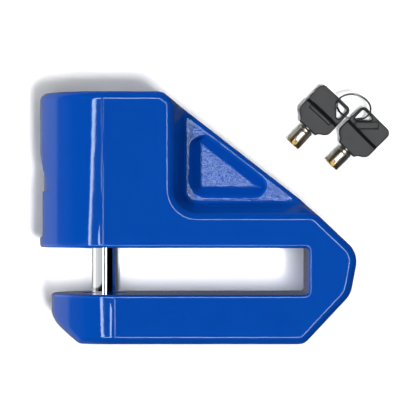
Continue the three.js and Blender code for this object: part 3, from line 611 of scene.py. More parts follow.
# ------------------------------------------------------------------ the cast body
# Small radii of the casting, in millimetres, that nobody would change.

TIP_CORNER = 0.5
JAW_CORNER = 4
UNDER_CORNER = 5
SLOPE_FOOT_CORNER = 6
SLOPE_TOP_CORNER = 5
NOSE_LEAN = (3, 2)  # how far the nose's lower corner stands back, and its upper corner below the slot's top
WEB_FLOOR_RADIUS = 2.0
POCKET_FLOOR_RADIUS = 0.8
POCKET_EDGE = 0.9
POCKET_INNER_CORNER = 0.6
SHARPEST_CORNER = 0.2
PANEL_EDGE = 0.5
BORE_EDGE = 0.8
SEAT_EDGE = 0.4
GROOVE_EDGE = 0.1
CHANNEL_EDGE = 0.2
SEAT_FIT = 0.3  # gap around what the body holds
PAST = 9  # how far the bore's tool runs out of the metal

def body_field():
    """The cast body's field, built from the properties and the frame's boxes."""
    s = in_mm(bpy.context.scene.lock_body_sizes)
    low, high = lock_box("lock_body")
    top, under, nose, thick = high.y, low.y, high.x, high.z
    slot_half = in_lock(mount_place("slot_barrel_face")).y
    slot_end = in_lock(mount_place("slot_end_face")).x
    barrel = -low.x
    spine_top = slot_half + s["spine"]
    slope_top = (s["collar"], top)
    slope_foot = (nose - s["slope_end"], spine_top)
    slope_normal = unit(slope_top[1] - slope_foot[1], slope_foot[0] - slope_top[0])
    _, plunger_high = lock_box("plunger_shell")
    _, bush_high = lock_box("pin_guide_bush")
    socket_low, _ = lock_box("jaw_socket")
    seal_low, seal_high = lock_box("mouth_seal")
    latch_low, latch_high = lock_box("latch_bolt")
    stop_low, stop_high = lock_box("stop_pin")
    travel = joint_named("plunger_slide")["range_m"][1] * MM
    fit = SEAT_FIT
    bore = plunger_high.x + fit
    outline = [
        (-3 * barrel, under + 2 * barrel, 0),
        (low.x, under + s["jaw_chamfer"] + 2, TIP_CORNER),
        (low.x + s["jaw_setback"] + 1.15 * s["jaw_chamfer"], under, JAW_CORNER),
        (slot_end - 1.5, under, UNDER_CORNER),
        (nose - NOSE_LEAN[0], -slot_half, s["nose"]),
        (nose, slot_half - NOSE_LEAN[1], s["nose"]),
        (*slope_foot, SLOPE_FOOT_CORNER),
        (*slope_top, SLOPE_TOP_CORNER),
        (-3 * barrel, top, 0),
    ]

    def field(x, y, z):
        side = rounded_polygon(x, y, outline)
        centre = np.where(y < 0, s["jaw_setback"], 0.0)
        face = abs(z) - thick + s["dip"] * np.clip((top - abs(y)) / (top - slot_half), 0, 1)
        plan = np.where(x < centre, np.hypot(x - centre, z) - thick, -thick)
        plan = blended(plan, face, s["face_edge"])
        metal = filleted(side, plan, s["edge"])

        slot = filleted(abs(y) - slot_half, x - slot_end, s["slot_corner"])
        metal = carved(metal, slot, s["slot_edge"])

        web_half = s["web"] / 2
        inset = s["web_draft"] * np.clip((thick - abs(z)) / (thick - web_half), -1, 1)
        lean = math.cos(math.atan2(s["web_draft"], thick - web_half))
        left = (s["web_left"] + inset - x) * lean
        foot = (slot_half + s["web_foot"] + inset - y) * lean
        walls = filleted(left, foot, s["web_corner"] - inset)
        recess = filleted(walls, web_half - abs(z), WEB_FLOOR_RADIUS, math.sin(math.acos(lean)))
        metal = carved(metal, recess, s["web_edge"])

        pocket_half = web_half - s["pocket"]
        inset = s["pocket_draft"] * np.clip((web_half - abs(z)) / s["pocket"], -1, 1)
        lean = math.cos(math.atan2(s["pocket_draft"], s["pocket"]))
        step_in = s["web_draft"] + s["pocket_rim"]
        left = (s["web_left"] + step_in + inset - x) * lean
        foot = (slot_half + s["web_foot"] + step_in + inset - y) * lean
        slope = (plane(x, y, slope_foot, slope_normal) + s["slope_rim"] + inset) * lean
        corner = np.maximum(s["pocket_corner"] - inset, SHARPEST_CORNER)
        walls = filleted(left, foot, s["pocket_draft"] + POCKET_INNER_CORNER - inset)
        walls = filleted(walls, slope, corner, -max(slope_normal))
        pocket = filleted(walls, pocket_half - abs(z), POCKET_FLOOR_RADIUS, math.sin(math.acos(lean)))
        metal = carved(metal, pocket, POCKET_EDGE)

        panel_foot = slot_half + s["panel_foot"]
        stem_top = panel_foot + s["panel_stem"]
        stem = np.maximum(abs(z) - s["panel_stem_half"], np.maximum(panel_foot - y, y - stem_top - 1))
        taper = s["panel_half"] / s["panel_head"]
        flank = (abs(z) - s["panel_half"] + (y - stem_top) * taper) / math.hypot(1, taper)
        arrow = np.minimum(stem, np.maximum(flank, stem_top - y))
        around = np.hypot(x, z)
        panel = np.maximum(np.maximum(arrow, barrel - s["panel_depth"] - around), x)
        metal = carved(metal, panel, PANEL_EDGE)

        metal = carved(metal, rod_field(x, y, z, bore, bush_high.y + fit, top + PAST), BORE_EDGE)
        bush_seat = rod_field(x, y, z, bush_high.x + fit, 0, bush_high.y + 2)
        metal = carved(metal, bush_seat, SEAT_EDGE)
        socket_seat = rod_field(x, y, z, bush_high.x + fit, socket_low.y - fit, 0)
        metal = carved(metal, socket_seat, SEAT_EDGE)
        groove = rod_field(x, y, z, seal_high.x + fit, seal_low.y - fit, seal_high.y + fit)
        metal = carved(metal, groove, GROOVE_EDGE)
        channel = box_field(
            x, y, z, (0, latch_low.y - fit, latch_low.z - 2 * fit),
            (latch_high.x + 2 * fit, latch_high.y + travel + fit, latch_high.z + 2 * fit))
        metal = carved(metal, channel, CHANNEL_EDGE)
        stop_y = (stop_low.y + stop_high.y) / 2
        drilled = np.maximum(np.hypot(x, y - stop_y) - (stop_high.y - stop_low.y) / 2 - fit, z + bore - 1)
        return carved(metal, drilled, SEAT_EDGE)

    return field, low, high


class LOCK_OT_body(bpy.types.Operator):
    """Make the cast and enamelled body"""
    bl_idname = "lock.body"
    bl_label = "Cast Body"

    def execute(self, context):
        field, low, high = body_field()
        piece = mesh_from_field("cast_body", field, low, high, context.scene.lock_body_sizes.grid * MM)
        self.mark_rough(piece)
        settle_piece(piece, "body", "blue_paint", ["lock_body"])
        return {"FINISHED"}

    @staticmethod
    def mark_rough(piece):
        """Stores how uneven the casting is at each point: the pocket's floor most, the web less."""
        s = in_mm(bpy.context.scene.lock_body_sizes)
        web = s["web"] / 2
        points = np.empty(len(piece.data.vertices) * 3)
        piece.data.vertices.foreach_get("co", points)
        points = points.reshape(-1, 3) * MM - np.array(ORIGIN) * MM
        slot_half = in_lock(mount_place("slot_barrel_face")).y
        inside = (points[:, 0] > s["web_left"]) & (points[:, 1] > slot_half + s["web_foot"])
        depth = np.abs(points[:, 2])
        level = np.clip((web + 0.25 - depth) / 0.2, 0, 1) * 0.45
        level = np.maximum(level, np.clip((web - s["pocket"] + 0.4 - depth) / 0.3, 0, 1))
        rough = piece.data.attributes.new("rough_casting", "FLOAT", "POINT")
        rough.data.foreach_set("value", np.where(inside, level, 0.0))


def turned_piece(name, body, slot, node, field):
    """A piece from a field in the lock's own frame, as large as the CAD node that it stands for."""
    low, high = lock_box(node)
    step = bpy.context.scene.lock_pin_sizes.grid * MM
    return settle_piece(mesh_from_field(name, field, low, high, step), body, slot, [node])


class LOCK_OT_locking_pin(bpy.types.Operator):
    """Make the chromed locking pin and the pin that holds it in the plunger"""
    bl_idname = "lock.locking_pin"
    bl_label = "Locking Pin"

    def execute(self, context):
        s = in_mm(context.scene.lock_pin_sizes)
        low, high = lock_box("locking_pin")
        cross_low, cross_high = lock_box("cross_pin")
        cross_y = (cross_low.y + cross_high.y) / 2
        cross_radius = (cross_high.y - cross_low.y) / 2

        def pin(x, y, z):
            shaft = filleted(np.hypot(x, z) - high.x, low.y - y, s["pin_tip"])
            shaft = filleted(shaft, y - high.y, s["small_edge"])
            return carved(shaft, np.hypot(y - cross_y, z) - cross_radius - s["fit"], 0.15)

        def cross(x, y, z):
            return filleted(np.hypot(y - cross_y, z) - cross_radius, abs(x) - cross_high.x, s["small_edge"])

        turned_piece("chromed_pin", "plunger", "chrome", "locking_pin", pin)
        turned_piece("retaining_pin", "plunger", "steel", "cross_pin", cross)
        return {"FINISHED"}


class LOCK_OT_plunger(bpy.types.Operator):
    """Make the push cylinder with its keyway, its slots and its cross holes"""
    bl_idname = "lock.plunger"
    bl_label = "Push Cylinder"

    def execute(self, context):
        s = in_mm(context.scene.lock_pin_sizes)
        low, high = lock_box("plunger_shell")
        latch_low, latch_high = lock_box("latch_bolt")
        stop_low, stop_high = lock_box("stop_pin")
        cross_low, cross_high = lock_box("cross_pin")
        block_low, block_high = lock_box("block_pin")
        _, core_high = lock_box("core")
        travel = joint_named("plunger_slide")["range_m"][1] * MM
        fit = s["fit"]
        chamber_top = high.y - s["keyway"]
        stop_half = (stop_high.x - stop_low.x) / 2 + fit
        stop_y = (stop_low.y + stop_high.y) / 2
        cross_y = (cross_low.y + cross_high.y) / 2
        block_y = (block_low.y + block_high.y) / 2
        notch_top = s["keyway_radius"] + s["notch_depth"]

        def shell(x, y, z):
            metal = filleted(np.hypot(x, z) - high.x, abs(y - (low.y + high.y) / 2) - (high.y - low.y) / 2,
                             s["shell_edge"])
            metal = carved(metal, rod_field(x, y, z, core_high.x + fit, low.y - 5, chamber_top), 0.2)
            metal = carved(metal, rod_field(x, y, z, s["keyway_radius"], chamber_top - 1, high.y + 5), 0.35)
            notch = box_field(x, y, z, (-s["notch_width"] / 2, chamber_top - 1, 0),
                              (s["notch_width"] / 2, high.y + 5, notch_top))
            metal = carved(metal, notch, 0.2)
            stop_slot = box_field(x, y, z, (-stop_half, stop_y - travel - stop_half, -2 * high.x),
                                  (stop_half, stop_y + stop_half, s["stop_slot"] - high.x))
            metal = carved(metal, stop_slot, 0.2)
            window = box_field(x, y, z, (core_high.x / 2, latch_low.y - fit, latch_low.z - fit),
                               (2 * high.x, latch_high.y + fit, latch_high.z + fit))
            metal = carved(metal, window, 0.2)
            cross = np.hypot(y - cross_y, z) - (cross_high.y - cross_low.y) / 2 - fit
            metal = carved(metal, cross, 0.2)
            block = np.maximum(np.hypot(x, y - block_y) - s["block_pin"], -z)
            return carved(metal, block, 0.2)

        turned_piece("push_cylinder", "plunger", "chrome", "plunger_shell", shell)
        return {"FINISHED"}


class LOCK_OT_seats(bpy.types.Operator):
    """Make the bush, the jaw's socket, the rubber wiper and the stop pin"""
    bl_idname = "lock.seats"
    bl_label = "Seats and Stop Pin"

    def execute(self, context):
        s = in_mm(context.scene.lock_pin_sizes)
        pin_radius = (PIN_HIGH.x - PIN_LOW.x) / 2 * MM
        inner = pin_radius + s["fit"]
        edge = s["small_edge"]
        bush_low, bush_high = lock_box("pin_guide_bush")
        socket_low, socket_high = lock_box("jaw_socket")
        seal_low, seal_high = lock_box("mouth_seal")
        stop_low, stop_high = lock_box("stop_pin")
        plunger_radius = lock_box("plunger_shell")[1].x

        def bar(x, y, z, low, high, soft):
            half = (high.y - low.y) / 2
            return filleted(np.hypot(x, z) - high.x, abs(y - low.y - half) - half, soft)

        def bush(x, y, z):
            return carved(bar(x, y, z, bush_low, bush_high, edge), np.hypot(x, z) - inner, 0.5)

        def socket(x, y, z):
            bore = rod_field(x, y, z, inner, socket_low.y + s["fit"], socket_high.y + 5)
            return carved(bar(x, y, z, socket_low, socket_high, edge), bore, 0.3)

        def seal(x, y, z):
            lip = (plunger_radius + s["fit"] / 2) + 0.5 * abs(y - seal_low.y - 0.4)
            return carved(bar(x, y, z, seal_low, seal_high, 0.2), np.hypot(x, z) - lip, 0.2)

        def stop(x, y, z):
            half = (stop_high.z - stop_low.z) / 2
            middle_y = (stop_low.y + stop_high.y) / 2
            round_part = np.hypot(x, y - middle_y) - (stop_high.x - stop_low.x) / 2
            return filleted(round_part, abs(z - stop_low.z - half) - half, 0.4)

        turned_piece("guide_bush", "body", "steel", "pin_guide_bush", bush)
        turned_piece("pin_socket", "body", "steel", "jaw_socket", socket)
        turned_piece("wiper_seal", "body", "rubber", "mouth_seal", seal)
        turned_piece("travel_stop", "body", "steel", "stop_pin", stop)
        return {"FINISHED"}


# ------------------------------------------------------------------ keys
# Small sizes of the keys, in millimetres, that nobody would change.

NECK_CORNER = 0.6
HOLE_CORNER = 0.8
HOLE_INNER_CORNER = 0.9
SCALLOP_EDGE = 0.5
BAR_HALF_WIDTH = 1.35
BAR_SLOPE = 0.35
BARS = {  # from the bow's far edge, off its middle line, length, and turn in degrees
    1: (9.3, 0.0, 10.6, 90),
    2: (4.9, -1.15, 9.0, 135.3),
}
STEM_FIT = 0.3
STEM_EDGE = 0.15
RIM_EDGE = 0.35
ROOT_EDGE = 0.8
BORE_DEPTH = 7
WEAR_LENGTH = 3.0  # how far from the open rim the plating is worn

def key_place(number):
    """Where a key lies: its ring hole's middle is the origin, and its tube points along x."""
    sizes = bpy.context.scene.lock_key_sizes
    heading = getattr(sizes, f"key_{number}_heading")
    at = joint_named(f"key_{number}_swing")["pos_m"]
    return Matrix.Translation(Vector(at)) @ Matrix.Rotation(heading, 4, "Z")


def key_layout(number):
    """A key's sizes in millimetres, the side its ring hole is on, its middle line, and the bow's end."""
    s = in_mm(bpy.context.scene.lock_key_sizes)
    side = 1 if number == 1 else -1
    middle = -side * (s["width"] / 2 - s["inset_side"])
    neck = s["flat"] + s["shoulder"] - s["inset_far"]
    return s, side, middle, neck


def key_bow_field(number):
    """A moulded bow: thin around its three-cornered ring hole, thick towards the tube, with a plain bar."""
    s, side, middle, neck = key_layout(number)
    far = -s["inset_far"]
    shoulder = far + s["flat"]
    half = s["width"] / 2
    outline = [
        (far, middle - half, s["corner"]),
        (shoulder, middle - half, s["corner"]),
        (neck, middle - s["neck"] / 2, NECK_CORNER),
        (neck, middle + s["neck"] / 2, NECK_CORNER),
        (shoulder, middle + half, s["corner"]),
        (far, middle + half, s["corner"]),
    ]
    corner_x = far + s["hole_rim"]
    corner_y = s["inset_side"] - s["hole_rim"]
    leg = s["hole_leg"]
    hole = [
        (corner_x, corner_y - leg, HOLE_CORNER),
        (corner_x + leg, corner_y, HOLE_CORNER),
        (corner_x, corner_y, HOLE_INNER_CORNER),
    ]
    bar_in, bar_off, bar_length, bar_degrees = BARS[number]
    bar_x = far + bar_in
    bar_y = middle + bar_off
    bar_turn = math.radians(bar_degrees)

    def field(x, y, z):
        plan = rounded_polygon(x, y, outline)
        for sign in (-1, 1):
            dent = np.hypot(x - neck + 0.1, y - middle - sign * s["scallop_out"]) - s["scallop"]
            plan = carved(plan, dent, SCALLOP_EDGE)
        ramp = np.clip(1 - (neck - s["grip"] - x) / s["ramp"], 0, 1)
        half_depth = s["thin"] / 2 + (s["thick"] - s["thin"]) / 2 * ramp * ramp * (3 - 2 * ramp)
        along = (x - bar_x) * math.cos(bar_turn) + (y - bar_y) * math.sin(bar_turn)
        across = (y - bar_y) * math.cos(bar_turn) - (x - bar_x) * math.sin(bar_turn)
        bar = np.maximum(abs(along) - bar_length / 2, abs(across) - BAR_HALF_WIDTH)
        half_depth = half_depth + s["bar_rise"] * np.clip(0.5 - bar / BAR_SLOPE, 0, 1)
        bow = filleted(plan, abs(z) - half_depth, s["edge"])
        bow = carved(bow, rounded_polygon(x, side * y, hole), s["hole_edge"])
        socket = np.maximum(np.hypot(y - middle, z) - s["stem"] - STEM_FIT,
                            neck - s["tube_held"] - STEM_FIT - x)
        return carved(bow, socket, STEM_EDGE)

    depth = s["thick"] / 2 + s["bar_rise"]
    return field, (far, middle - half, -depth), (neck, middle + half, depth)


def key_tube_field(number):
    """A tubular key's shank: a stem in the bow, a round root, a shallow groove, a bore, a notched rim."""
    s, side, middle, neck = key_layout(number)
    start = neck - s["tube_held"]
    root = neck + 0.3
    end = neck + s["tube_free"]

    def field(x, y, z):
        around = np.hypot(y - middle, z)
        tube = filleted(filleted(around - s["tube"], x - end, RIM_EDGE), root - x, ROOT_EDGE)
        stem = np.maximum(around - s["stem"], np.maximum(start - x, x - root - 1))
        groove = np.hypot(around - s["tube"] - 0.12, x - root - 1.6) - 0.32
        metal = np.minimum(carved(tube, groove, 0.1), stem)
        metal = carved(metal, np.maximum(around - s["tube"] + s["tube_wall"], end - BORE_DEPTH - x), 0.2)
        notch = box_field(x, y - middle, z, (end - s["notch"], -s["notch_width"] / 2, s["tube"] / 2),
                          (end + 5, s["notch_width"] / 2, s["tube"] * 2))
        return carved(metal, notch, 0.15)

    return field, (start, middle - s["tube"], -s["tube"]), (end, middle + s["tube"], s["tube"]), end


class LOCK_OT_keys(bpy.types.Operator):
    """Make the two tubular keys"""
    bl_idname = "lock.keys"
    bl_label = "Keys"

    def execute(self, context):
        step = context.scene.lock_key_sizes.grid * MM
        for number in (1, 2):
            place = key_place(number)
            field, low, high = key_bow_field(number)
            bow = mesh_from_field(f"bow_{number}", field, low, high, step, place)
            settle_piece(bow, f"key_{number}", "black_plastic", [f"key_{number}_bow"])
            field, low, high, end = key_tube_field(number)
            tube = mesh_from_field(f"shank_{number}", field, low, high, step, place)
            self.mark_worn(tube, place, end)
            settle_piece(tube, f"key_{number}", "nickel", [f"key_{number}_tube"])
        return {"FINISHED"}

    @staticmethod
    def mark_worn(tube, place, end):
        """Stores how near each point is to the open rim, where the plating is worn through."""
        back = place.inverted()
        worn = tube.data.attributes.new("worn", "FLOAT", "POINT")
        for vertex, entry in zip(tube.data.vertices, worn.data):
            entry.value = max(0.0, 1 - (end - (back @ vertex.co).x * MM) / WEAR_LENGTH)


def node_group(name, inputs):
    """An empty geometry node tree with named number inputs."""
    tree = bpy.data.node_groups.new(name, "GeometryNodeTree")
    for label, kind, value in inputs:
        socket = tree.interface.new_socket(label, in_out="INPUT", socket_type=kind)
        socket.default_value = value
    tree.interface.new_socket("Geometry", in_out="OUTPUT", socket_type="NodeSocketGeometry")
    return tree


def finish_group(tree, geometry, material):
    """Ends a tree in one real geometry with its material."""
    real = add_node(tree, "GeometryNodeRealizeInstances", links={"Geometry": geometry})
    smooth = add_node(tree, "GeometryNodeSetShadeSmooth", links={"Geometry": real.outputs[0]})
    coat = add_node(tree, "GeometryNodeSetMaterial", {"Material": material},
                    {"Geometry": smooth.outputs[0]})
    add_node(tree, "NodeGroupOutput", links={"Geometry": coat.outputs[0]})


def wire_mesh(tree, curve, wire, sides):
    """A round wire along a curve, with its ends closed."""
    section = add_node(tree, "GeometryNodeCurvePrimitiveCircle", {"Resolution": sides}, {"Radius": wire})
    return add_node(tree, "GeometryNodeCurveToMesh", {"Fill Caps": True},
                    {"Curve": curve, "Profile Curve": section.outputs[0]}).outputs[0]


def coil_tree(material):
    """A coil of round wire, rising along z from the origin."""
    tree = node_group("coil_of_wire", [
        ("Radius", "NodeSocketFloat", 0.005), ("Height", "NodeSocketFloat", 0.01),
        ("Turns", "NodeSocketFloat", 5.0), ("Wire", "NodeSocketFloat", 0.0005)])
    given = add_node(tree, "NodeGroupInput").outputs
    spiral = add_node(tree, "GeometryNodeCurveSpiral", {"Resolution": 40},
                      {"Rotations": given["Turns"], "Start Radius": given["Radius"],
                       "End Radius": given["Radius"], "Height": given["Height"]})
    finish_group(tree, wire_mesh(tree, spiral.outputs[0], given["Wire"], 16), material)
    return tree


def ring_tree(material):
    """A closed ring of round wire about the origin, in the plane of x and y."""
    tree = node_group("ring_of_wire", [
        ("Radius", "NodeSocketFloat", 0.0065), ("Wire", "NodeSocketFloat", 0.0004)])
    given = add_node(tree, "NodeGroupInput").outputs
    circle = add_node(tree, "GeometryNodeCurvePrimitiveCircle", {"Resolution": 160},
                      {"Radius": given["Radius"]})
    finish_group(tree, wire_mesh(tree, circle.outputs[0], given["Wire"], 20), material)
    return tree


def generated(name, tree, values, place):
    """A plain mesh piece from a geometry node tree and the values of its inputs, set in place."""
    carrier = bpy.data.objects.new(name + "_maker", bpy.data.meshes.new(name + "_maker"))
    bpy.context.scene.collection.objects.link(carrier)
    modifier = carrier.modifiers.new("maker", "NODES")
    modifier.node_group = tree
    identifiers = {item.name: item.identifier for item in tree.interface.items_tree
                   if item.item_type == "SOCKET" and item.in_out == "INPUT"}
    for label, value in values.items():
        modifier[identifiers[label]] = value
    bpy.context.view_layer.update()
    evaluated = carrier.evaluated_get(bpy.context.evaluated_depsgraph_get())
    mesh = bpy.data.meshes.new_from_object(evaluated)
    mesh.name = name
    mesh.transform(place)
    piece = bpy.data.objects.new(name, mesh)
    bpy.context.scene.collection.objects.link(piece)
    bpy.data.objects.remove(carrier)
    return piece


class LOCK_OT_key_ring(bpy.types.Operator):
    """Make the wire ring that joins the keys"""
    bl_idname = "lock.key_ring"
    bl_label = "Key Ring"

    def execute(self, context):
        p = context.scene.lock_key_sizes
        first = Vector(joint_named("key_1_swing")["pos_m"])
        second = Vector(joint_named("key_2_swing")["pos_m"])
        chord = second - first
        rise = math.sqrt(p.ring_radius ** 2 - (chord.length / 2) ** 2)
        place = (Matrix.Translation((first + second) / 2)
                 @ Matrix.Rotation(math.atan2(chord.y, chord.x), 4, "Z")
                 @ Matrix.Rotation(p.ring_tilt, 4, "X") @ Matrix.Translation((0, rise, 0)))
        ring = generated("wire_ring", ring_tree(finish_for("steel")),
                         {"Radius": p.ring_radius, "Wire": p.ring_wire}, place)
        settle_piece(ring, "key_ring", "steel", ["key_ring"])
        return {"FINISHED"}


class LOCK_OT_springs(bpy.types.Operator):
    """Make the return spring, the latch spring and the seven tumbler springs"""
    bl_idname = "lock.springs"
    bl_label = "Springs"

    def execute(self, context):
        p = context.scene.lock_spring_sizes
        tree = coil_tree(finish_for("spring_steel"))
        along_y = Matrix.Rotation(-math.pi / 2, 4, "X")
        along_x = Matrix.Rotation(math.pi / 2, 4, "Y")
        self.coil(tree, "return_coil", "return_spring", "body", p.return_wire, p.return_turns, along_y, 1)
        throw = joint_named("latch_slide")["range_m"][1] + CLEARANCE
        self.coil(tree, "latch_coil", "latch_spring", "plunger", p.latch_wire, p.latch_turns, along_x, 0,
                  throw)
        count = sum(1 for name in frame["nodes"] if name.startswith("tumbler_spring_"))
        for i in range(1, count + 1):
            self.coil(tree, f"tumbler_coil_{i}", f"tumbler_spring_{i}", "plunger", p.tumbler_wire,
                      p.tumbler_turns, along_y, 1)
        return {"FINISHED"}

    @staticmethod
    def coil(tree, name, node, body, wire, turns, turn_to, axis, room=0.0):
        """One spring between the ends of its CAD node, along the axis given, less the room at its far end
        that a moving piece takes up."""
        low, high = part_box(node)
        high[axis] -= room
        middle = (low + high) / 2
        middle[axis] = low[axis] + wire
        size = high - low
        radius = size[2] / 2 - wire
        values = {"Radius": radius, "Height": size[axis] - 2 * wire, "Turns": turns, "Wire": wire}
        spring = generated(name, tree, values, Matrix.Translation(middle) @ turn_to)
        settle_piece(spring, body, "spring_steel", [node])


class LOCK_OT_carried_over(bpy.types.Operator):
    """Give every CAD node that is still shown its finish"""
    bl_idname = "lock.carried_over"
    bl_label = "Finishes of the Inner Pieces"

    def execute(self, context):
        slots = {row["node"]: row["material_slot"] for row in frame["record"]["subparts"]}
        for name, node in frame["nodes"].items():
            node.data.materials.clear()
            node.data.materials.append(finish_for(slots[name]))
        return {"FINISHED"}


# ------------------------------------------------------------------ stage
# Lengths in metres, powers in watts, softness and spread in degrees.

FLOOR_HALF = 1.5
CAMERA_SENSOR = 36
CAMERA_LENS = 216
VIEW_MIDDLE = Vector((0.03985, 0.0239, 0))  # what the camera looks straight down at, from the lock's origin
VIEW_HEIGHT = Vector((0, 0, 0.965))
FLOOR_SUN = {"heading": (-0.6, 0.58, -3.05), "power": 2.5, "softness": 7}  # shadows fall to the upper left
LOCK_SUN = {"heading": (0.6, -0.15, -0.9), "power": 2.5, "softness": 12}  # keeps walls that face right dark
SLOT_LIGHT_HEIGHT = 0.2
SLOT_LIGHT_SPREAD = 3
SLOT_WASH = {"wide": 0.0168, "power": 0.0012}  # dim, over the whole slot
SLOT_PATCH = {"wide": 0.0125, "power": 0.0035}  # bright, clear of the slot's end and its lower side
SLOT_PATCH_SHORT = 0.007
SLOT_PATCH_RISE = 0.0022
PIN_CARD = {"long": 0.15, "wide": 0.0165, "power": 0.006, "away": 0.023}  # the white line in the chrome
RING_STOPS = ((0.0, 0.0), (8.0, 0.0), (10.0, 1.0), (15.0, 1.0), (17.0, 0.0))  # degrees from overhead, light
RING_STRENGTH = 12.0
LEFT_GLOW = {1: -0.8, 2: -1.0, 3: 0.0, 4: 0.2}  # how light the horizon is, towards the left
BELOW_HORIZON = {1: 0.03, 2: -0.08, 3: 0.0, 4: 1.0}  # where the ground begins, by the direction's rise
GROUND_GLOW = {1: 0.0, 2: -1.0, 3: 0.10, 4: 0.75}  # how light the ground is, from right to left

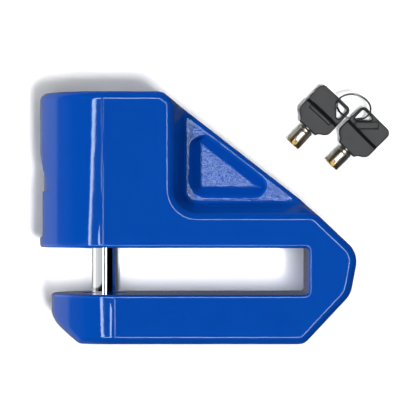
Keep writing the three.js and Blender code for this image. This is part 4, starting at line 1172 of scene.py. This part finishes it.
class LOCK_OT_stage(bpy.types.Operator):
    """Make the floor, the lights and the camera"""
    bl_idname = "lock.stage"
    bl_label = "Stage"

    def execute(self, context):
        floor = self.floor(context)

        camera_data = bpy.data.cameras.new("camera")
        camera_data.sensor_width = CAMERA_SENSOR
        camera_data.lens = CAMERA_LENS
        camera = bpy.data.objects.new("camera", camera_data)
        context.scene.collection.objects.link(camera)
        camera.location = ORIGIN + VIEW_MIDDLE + VIEW_HEIGHT
        context.scene.camera = camera

        floor_only = bpy.data.collections.new("floor_only")
        floor_only.objects.link(floor)
        all_but_floor = bpy.data.collections.new("all_but_floor")
        all_but_floor.objects.link(floor)
        all_but_floor.collection_objects[0].light_linking.link_state = "EXCLUDE"
        self.sun("floor_key", lit=floor_only, **FLOOR_SUN)
        self.sun("lock_key", lit=all_but_floor, **LOCK_SUN)

        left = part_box("lock_body")[0].x
        slot_end = mount_place("slot_end_face")[0]
        wash = self.strip_light("slot_base", slot_end - left, SLOT_WASH["wide"], SLOT_WASH["power"],
                                SLOT_LIGHT_SPREAD)
        wash.location = ((slot_end + left) / 2, ORIGIN.y, SLOT_LIGHT_HEIGHT)
        wash.visible_glossy = False
        patch_end = slot_end - SLOT_PATCH_SHORT
        patch = self.strip_light("slot_fill", patch_end - left, SLOT_PATCH["wide"], SLOT_PATCH["power"],
                                 SLOT_LIGHT_SPREAD)
        patch.location = ((patch_end + left) / 2, ORIGIN.y + SLOT_PATCH_RISE, SLOT_LIGHT_HEIGHT)
        patch.visible_glossy = False

        card = self.strip_light("pin_card", PIN_CARD["long"], PIN_CARD["wide"], PIN_CARD["power"], 180)
        card.location = (left - PIN_CARD["away"], ORIGIN.y, PIN_CARD["long"] / 2)
        card.rotation_euler = (0, -math.pi / 2, 0)
        card.visible_diffuse = False

        context.scene.world = self.studio()
        context.scene.view_settings.view_transform = "Standard"
        return {"FINISHED"}

    @staticmethod
    def floor(context):
        """A plain pale floor that lights the lock from below but leaves no reflection in it."""
        mesh = bpy.data.meshes.new("floor")
        half = FLOOR_HALF
        mesh.from_pydata([(-half, -half, 0), (half, -half, 0), (half, half, 0), (-half, half, 0)], [],
                         [(0, 1, 2, 3)])
        floor = bpy.data.objects.new("floor", mesh)
        context.scene.collection.objects.link(floor)
        material, tree, _ = new_material("floor_plain_pale")
        shader = add_node(tree, "ShaderNodeBsdfPrincipled",
                          {"Base Color": linear(context.scene.lock_colours.floor), "Roughness": 0.9,
                           "Specular IOR Level": 0.1})
        finish_material(tree, shader)
        mesh.materials.append(material)
        floor.visible_glossy = False
        return floor

    @staticmethod
    def sun(name, heading, power, softness, lit):
        """A soft distant light that lights one collection; it leaves no reflection of its own."""
        data = bpy.data.lights.new(name, "SUN")
        data.energy = power
        data.angle = math.radians(softness)
        lamp = bpy.data.objects.new(name, data)
        bpy.context.scene.collection.objects.link(lamp)
        lamp.rotation_euler = Vector(heading).to_track_quat("-Z", "Y").to_euler()
        lamp.visible_glossy = False
        lamp.light_linking.receiver_collection = lit

    @staticmethod
    def strip_light(name, long, wide, power, spread):
        """A long narrow area light, seen only by what it lights."""
        data = bpy.data.lights.new(name, "AREA")
        data.shape = "RECTANGLE"
        data.size = long
        data.size_y = wide
        data.energy = power
        data.spread = math.radians(spread)
        lamp = bpy.data.objects.new(name, data)
        bpy.context.scene.collection.objects.link(lamp)
        lamp.visible_camera = False
        return lamp

    @staticmethod
    def studio():
        """The studio around the lock, by direction: a ring of light overhead that draws thin lines along
        the edges, a bright ground on the left and a dim one on the right, and dark elsewhere."""
        world = bpy.data.worlds.new("studio")
        world.use_nodes = True
        tree = world.node_tree
        tree.nodes.clear()
        direction = add_node(tree, "ShaderNodeTexCoord").outputs["Generated"]
        parts = add_node(tree, "ShaderNodeSeparateXYZ", links={"Vector": direction})
        steep = add_node(tree, "ShaderNodeMath", {}, {0: parts.outputs["Z"]}, operation="ARCCOSINE")
        ring = add_node(tree, "ShaderNodeValToRGB", links={"Fac": add_node(
            tree, "ShaderNodeMath", {1: math.radians(90)}, {0: steep.outputs[0]}, operation="DIVIDE",
            use_clamp=True).outputs[0]})
        ramp = ring.color_ramp
        while len(ramp.elements) < len(RING_STOPS):
            ramp.elements.new(0.5)
        for element, (degrees, value) in zip(ramp.elements, RING_STOPS):
            element.position = degrees / 90
            element.color = (value, value, value, 1)
        overhead = add_node(tree, "ShaderNodeMath", {1: RING_STRENGTH}, {0: ring.outputs["Color"]},
                            operation="MULTIPLY")
        leftward = add_node(tree, "ShaderNodeMapRange", LEFT_GLOW,
                            {0: parts.outputs["X"]})
        above = add_node(tree, "ShaderNodeMath", {}, {0: overhead.outputs[0], 1: leftward.outputs[0]},
                         operation="ADD")
        low = add_node(tree, "ShaderNodeMapRange", BELOW_HORIZON,
                       {0: parts.outputs["Z"]})
        ground = add_node(tree, "ShaderNodeMapRange", GROUND_GLOW,
                          {0: parts.outputs["X"]})
        below = add_node(tree, "ShaderNodeMath", {}, {0: low.outputs[0], 1: ground.outputs[0]},
                         operation="MULTIPLY")
        total = add_node(tree, "ShaderNodeMath", {}, {0: above.outputs[0], 1: below.outputs[0]},
                         operation="ADD")
        background = add_node(tree, "ShaderNodeBackground", {"Strength": 1.0},
                              {"Color": total.outputs[0]})
        add_node(tree, "ShaderNodeOutputWorld", links={"Surface": background.outputs[0]})
        return world


class LOCK_PT_panel(bpy.types.Panel):
    """The sidebar panel of the lock's sizes, colours and makers"""
    bl_idname = "LOCK_PT_panel"
    bl_label = "Disc Brake Lock"
    bl_space_type = "VIEW_3D"
    bl_region_type = "UI"
    bl_category = "Lock"

    def draw(self, context):
        for name in GROUPS:
            group = getattr(context.scene, name)
            box = self.layout.box()
            for key in group.__annotations__:
                box.prop(group, key)
        for operator in OPERATORS:
            self.layout.operator(operator.bl_idname)


GROUPS = {
    "lock_body_sizes": LockBodySizes,
    "lock_pin_sizes": LockPinSizes,
    "lock_key_sizes": KeySizes,
    "lock_spring_sizes": SpringSizes,
    "lock_colours": LockColours,
}
OPERATORS = (
    LOCK_OT_stage,
    LOCK_OT_carried_over,
    LOCK_OT_body,
    LOCK_OT_plunger,
    LOCK_OT_locking_pin,
    LOCK_OT_seats,
    LOCK_OT_springs,
    LOCK_OT_keys,
    LOCK_OT_key_ring,
)


def register():
    for group in GROUPS.values():
        bpy.utils.register_class(group)
    for name, group in GROUPS.items():
        setattr(bpy.types.Scene, name, PointerProperty(type=group))
    for entry in (*OPERATORS, LOCK_PT_panel):
        bpy.utils.register_class(entry)


def unregister():
    for entry in reversed((*OPERATORS, LOCK_PT_panel)):
        bpy.utils.unregister_class(entry)
    for name, group in GROUPS.items():
        delattr(bpy.types.Scene, name)
        bpy.utils.unregister_class(group)


def main():
    register()
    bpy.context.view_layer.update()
    for operator in OPERATORS:
        group, name = operator.bl_idname.split(".")
        getattr(getattr(bpy.ops, group), name)()


if __name__ == "__main__":
    main()
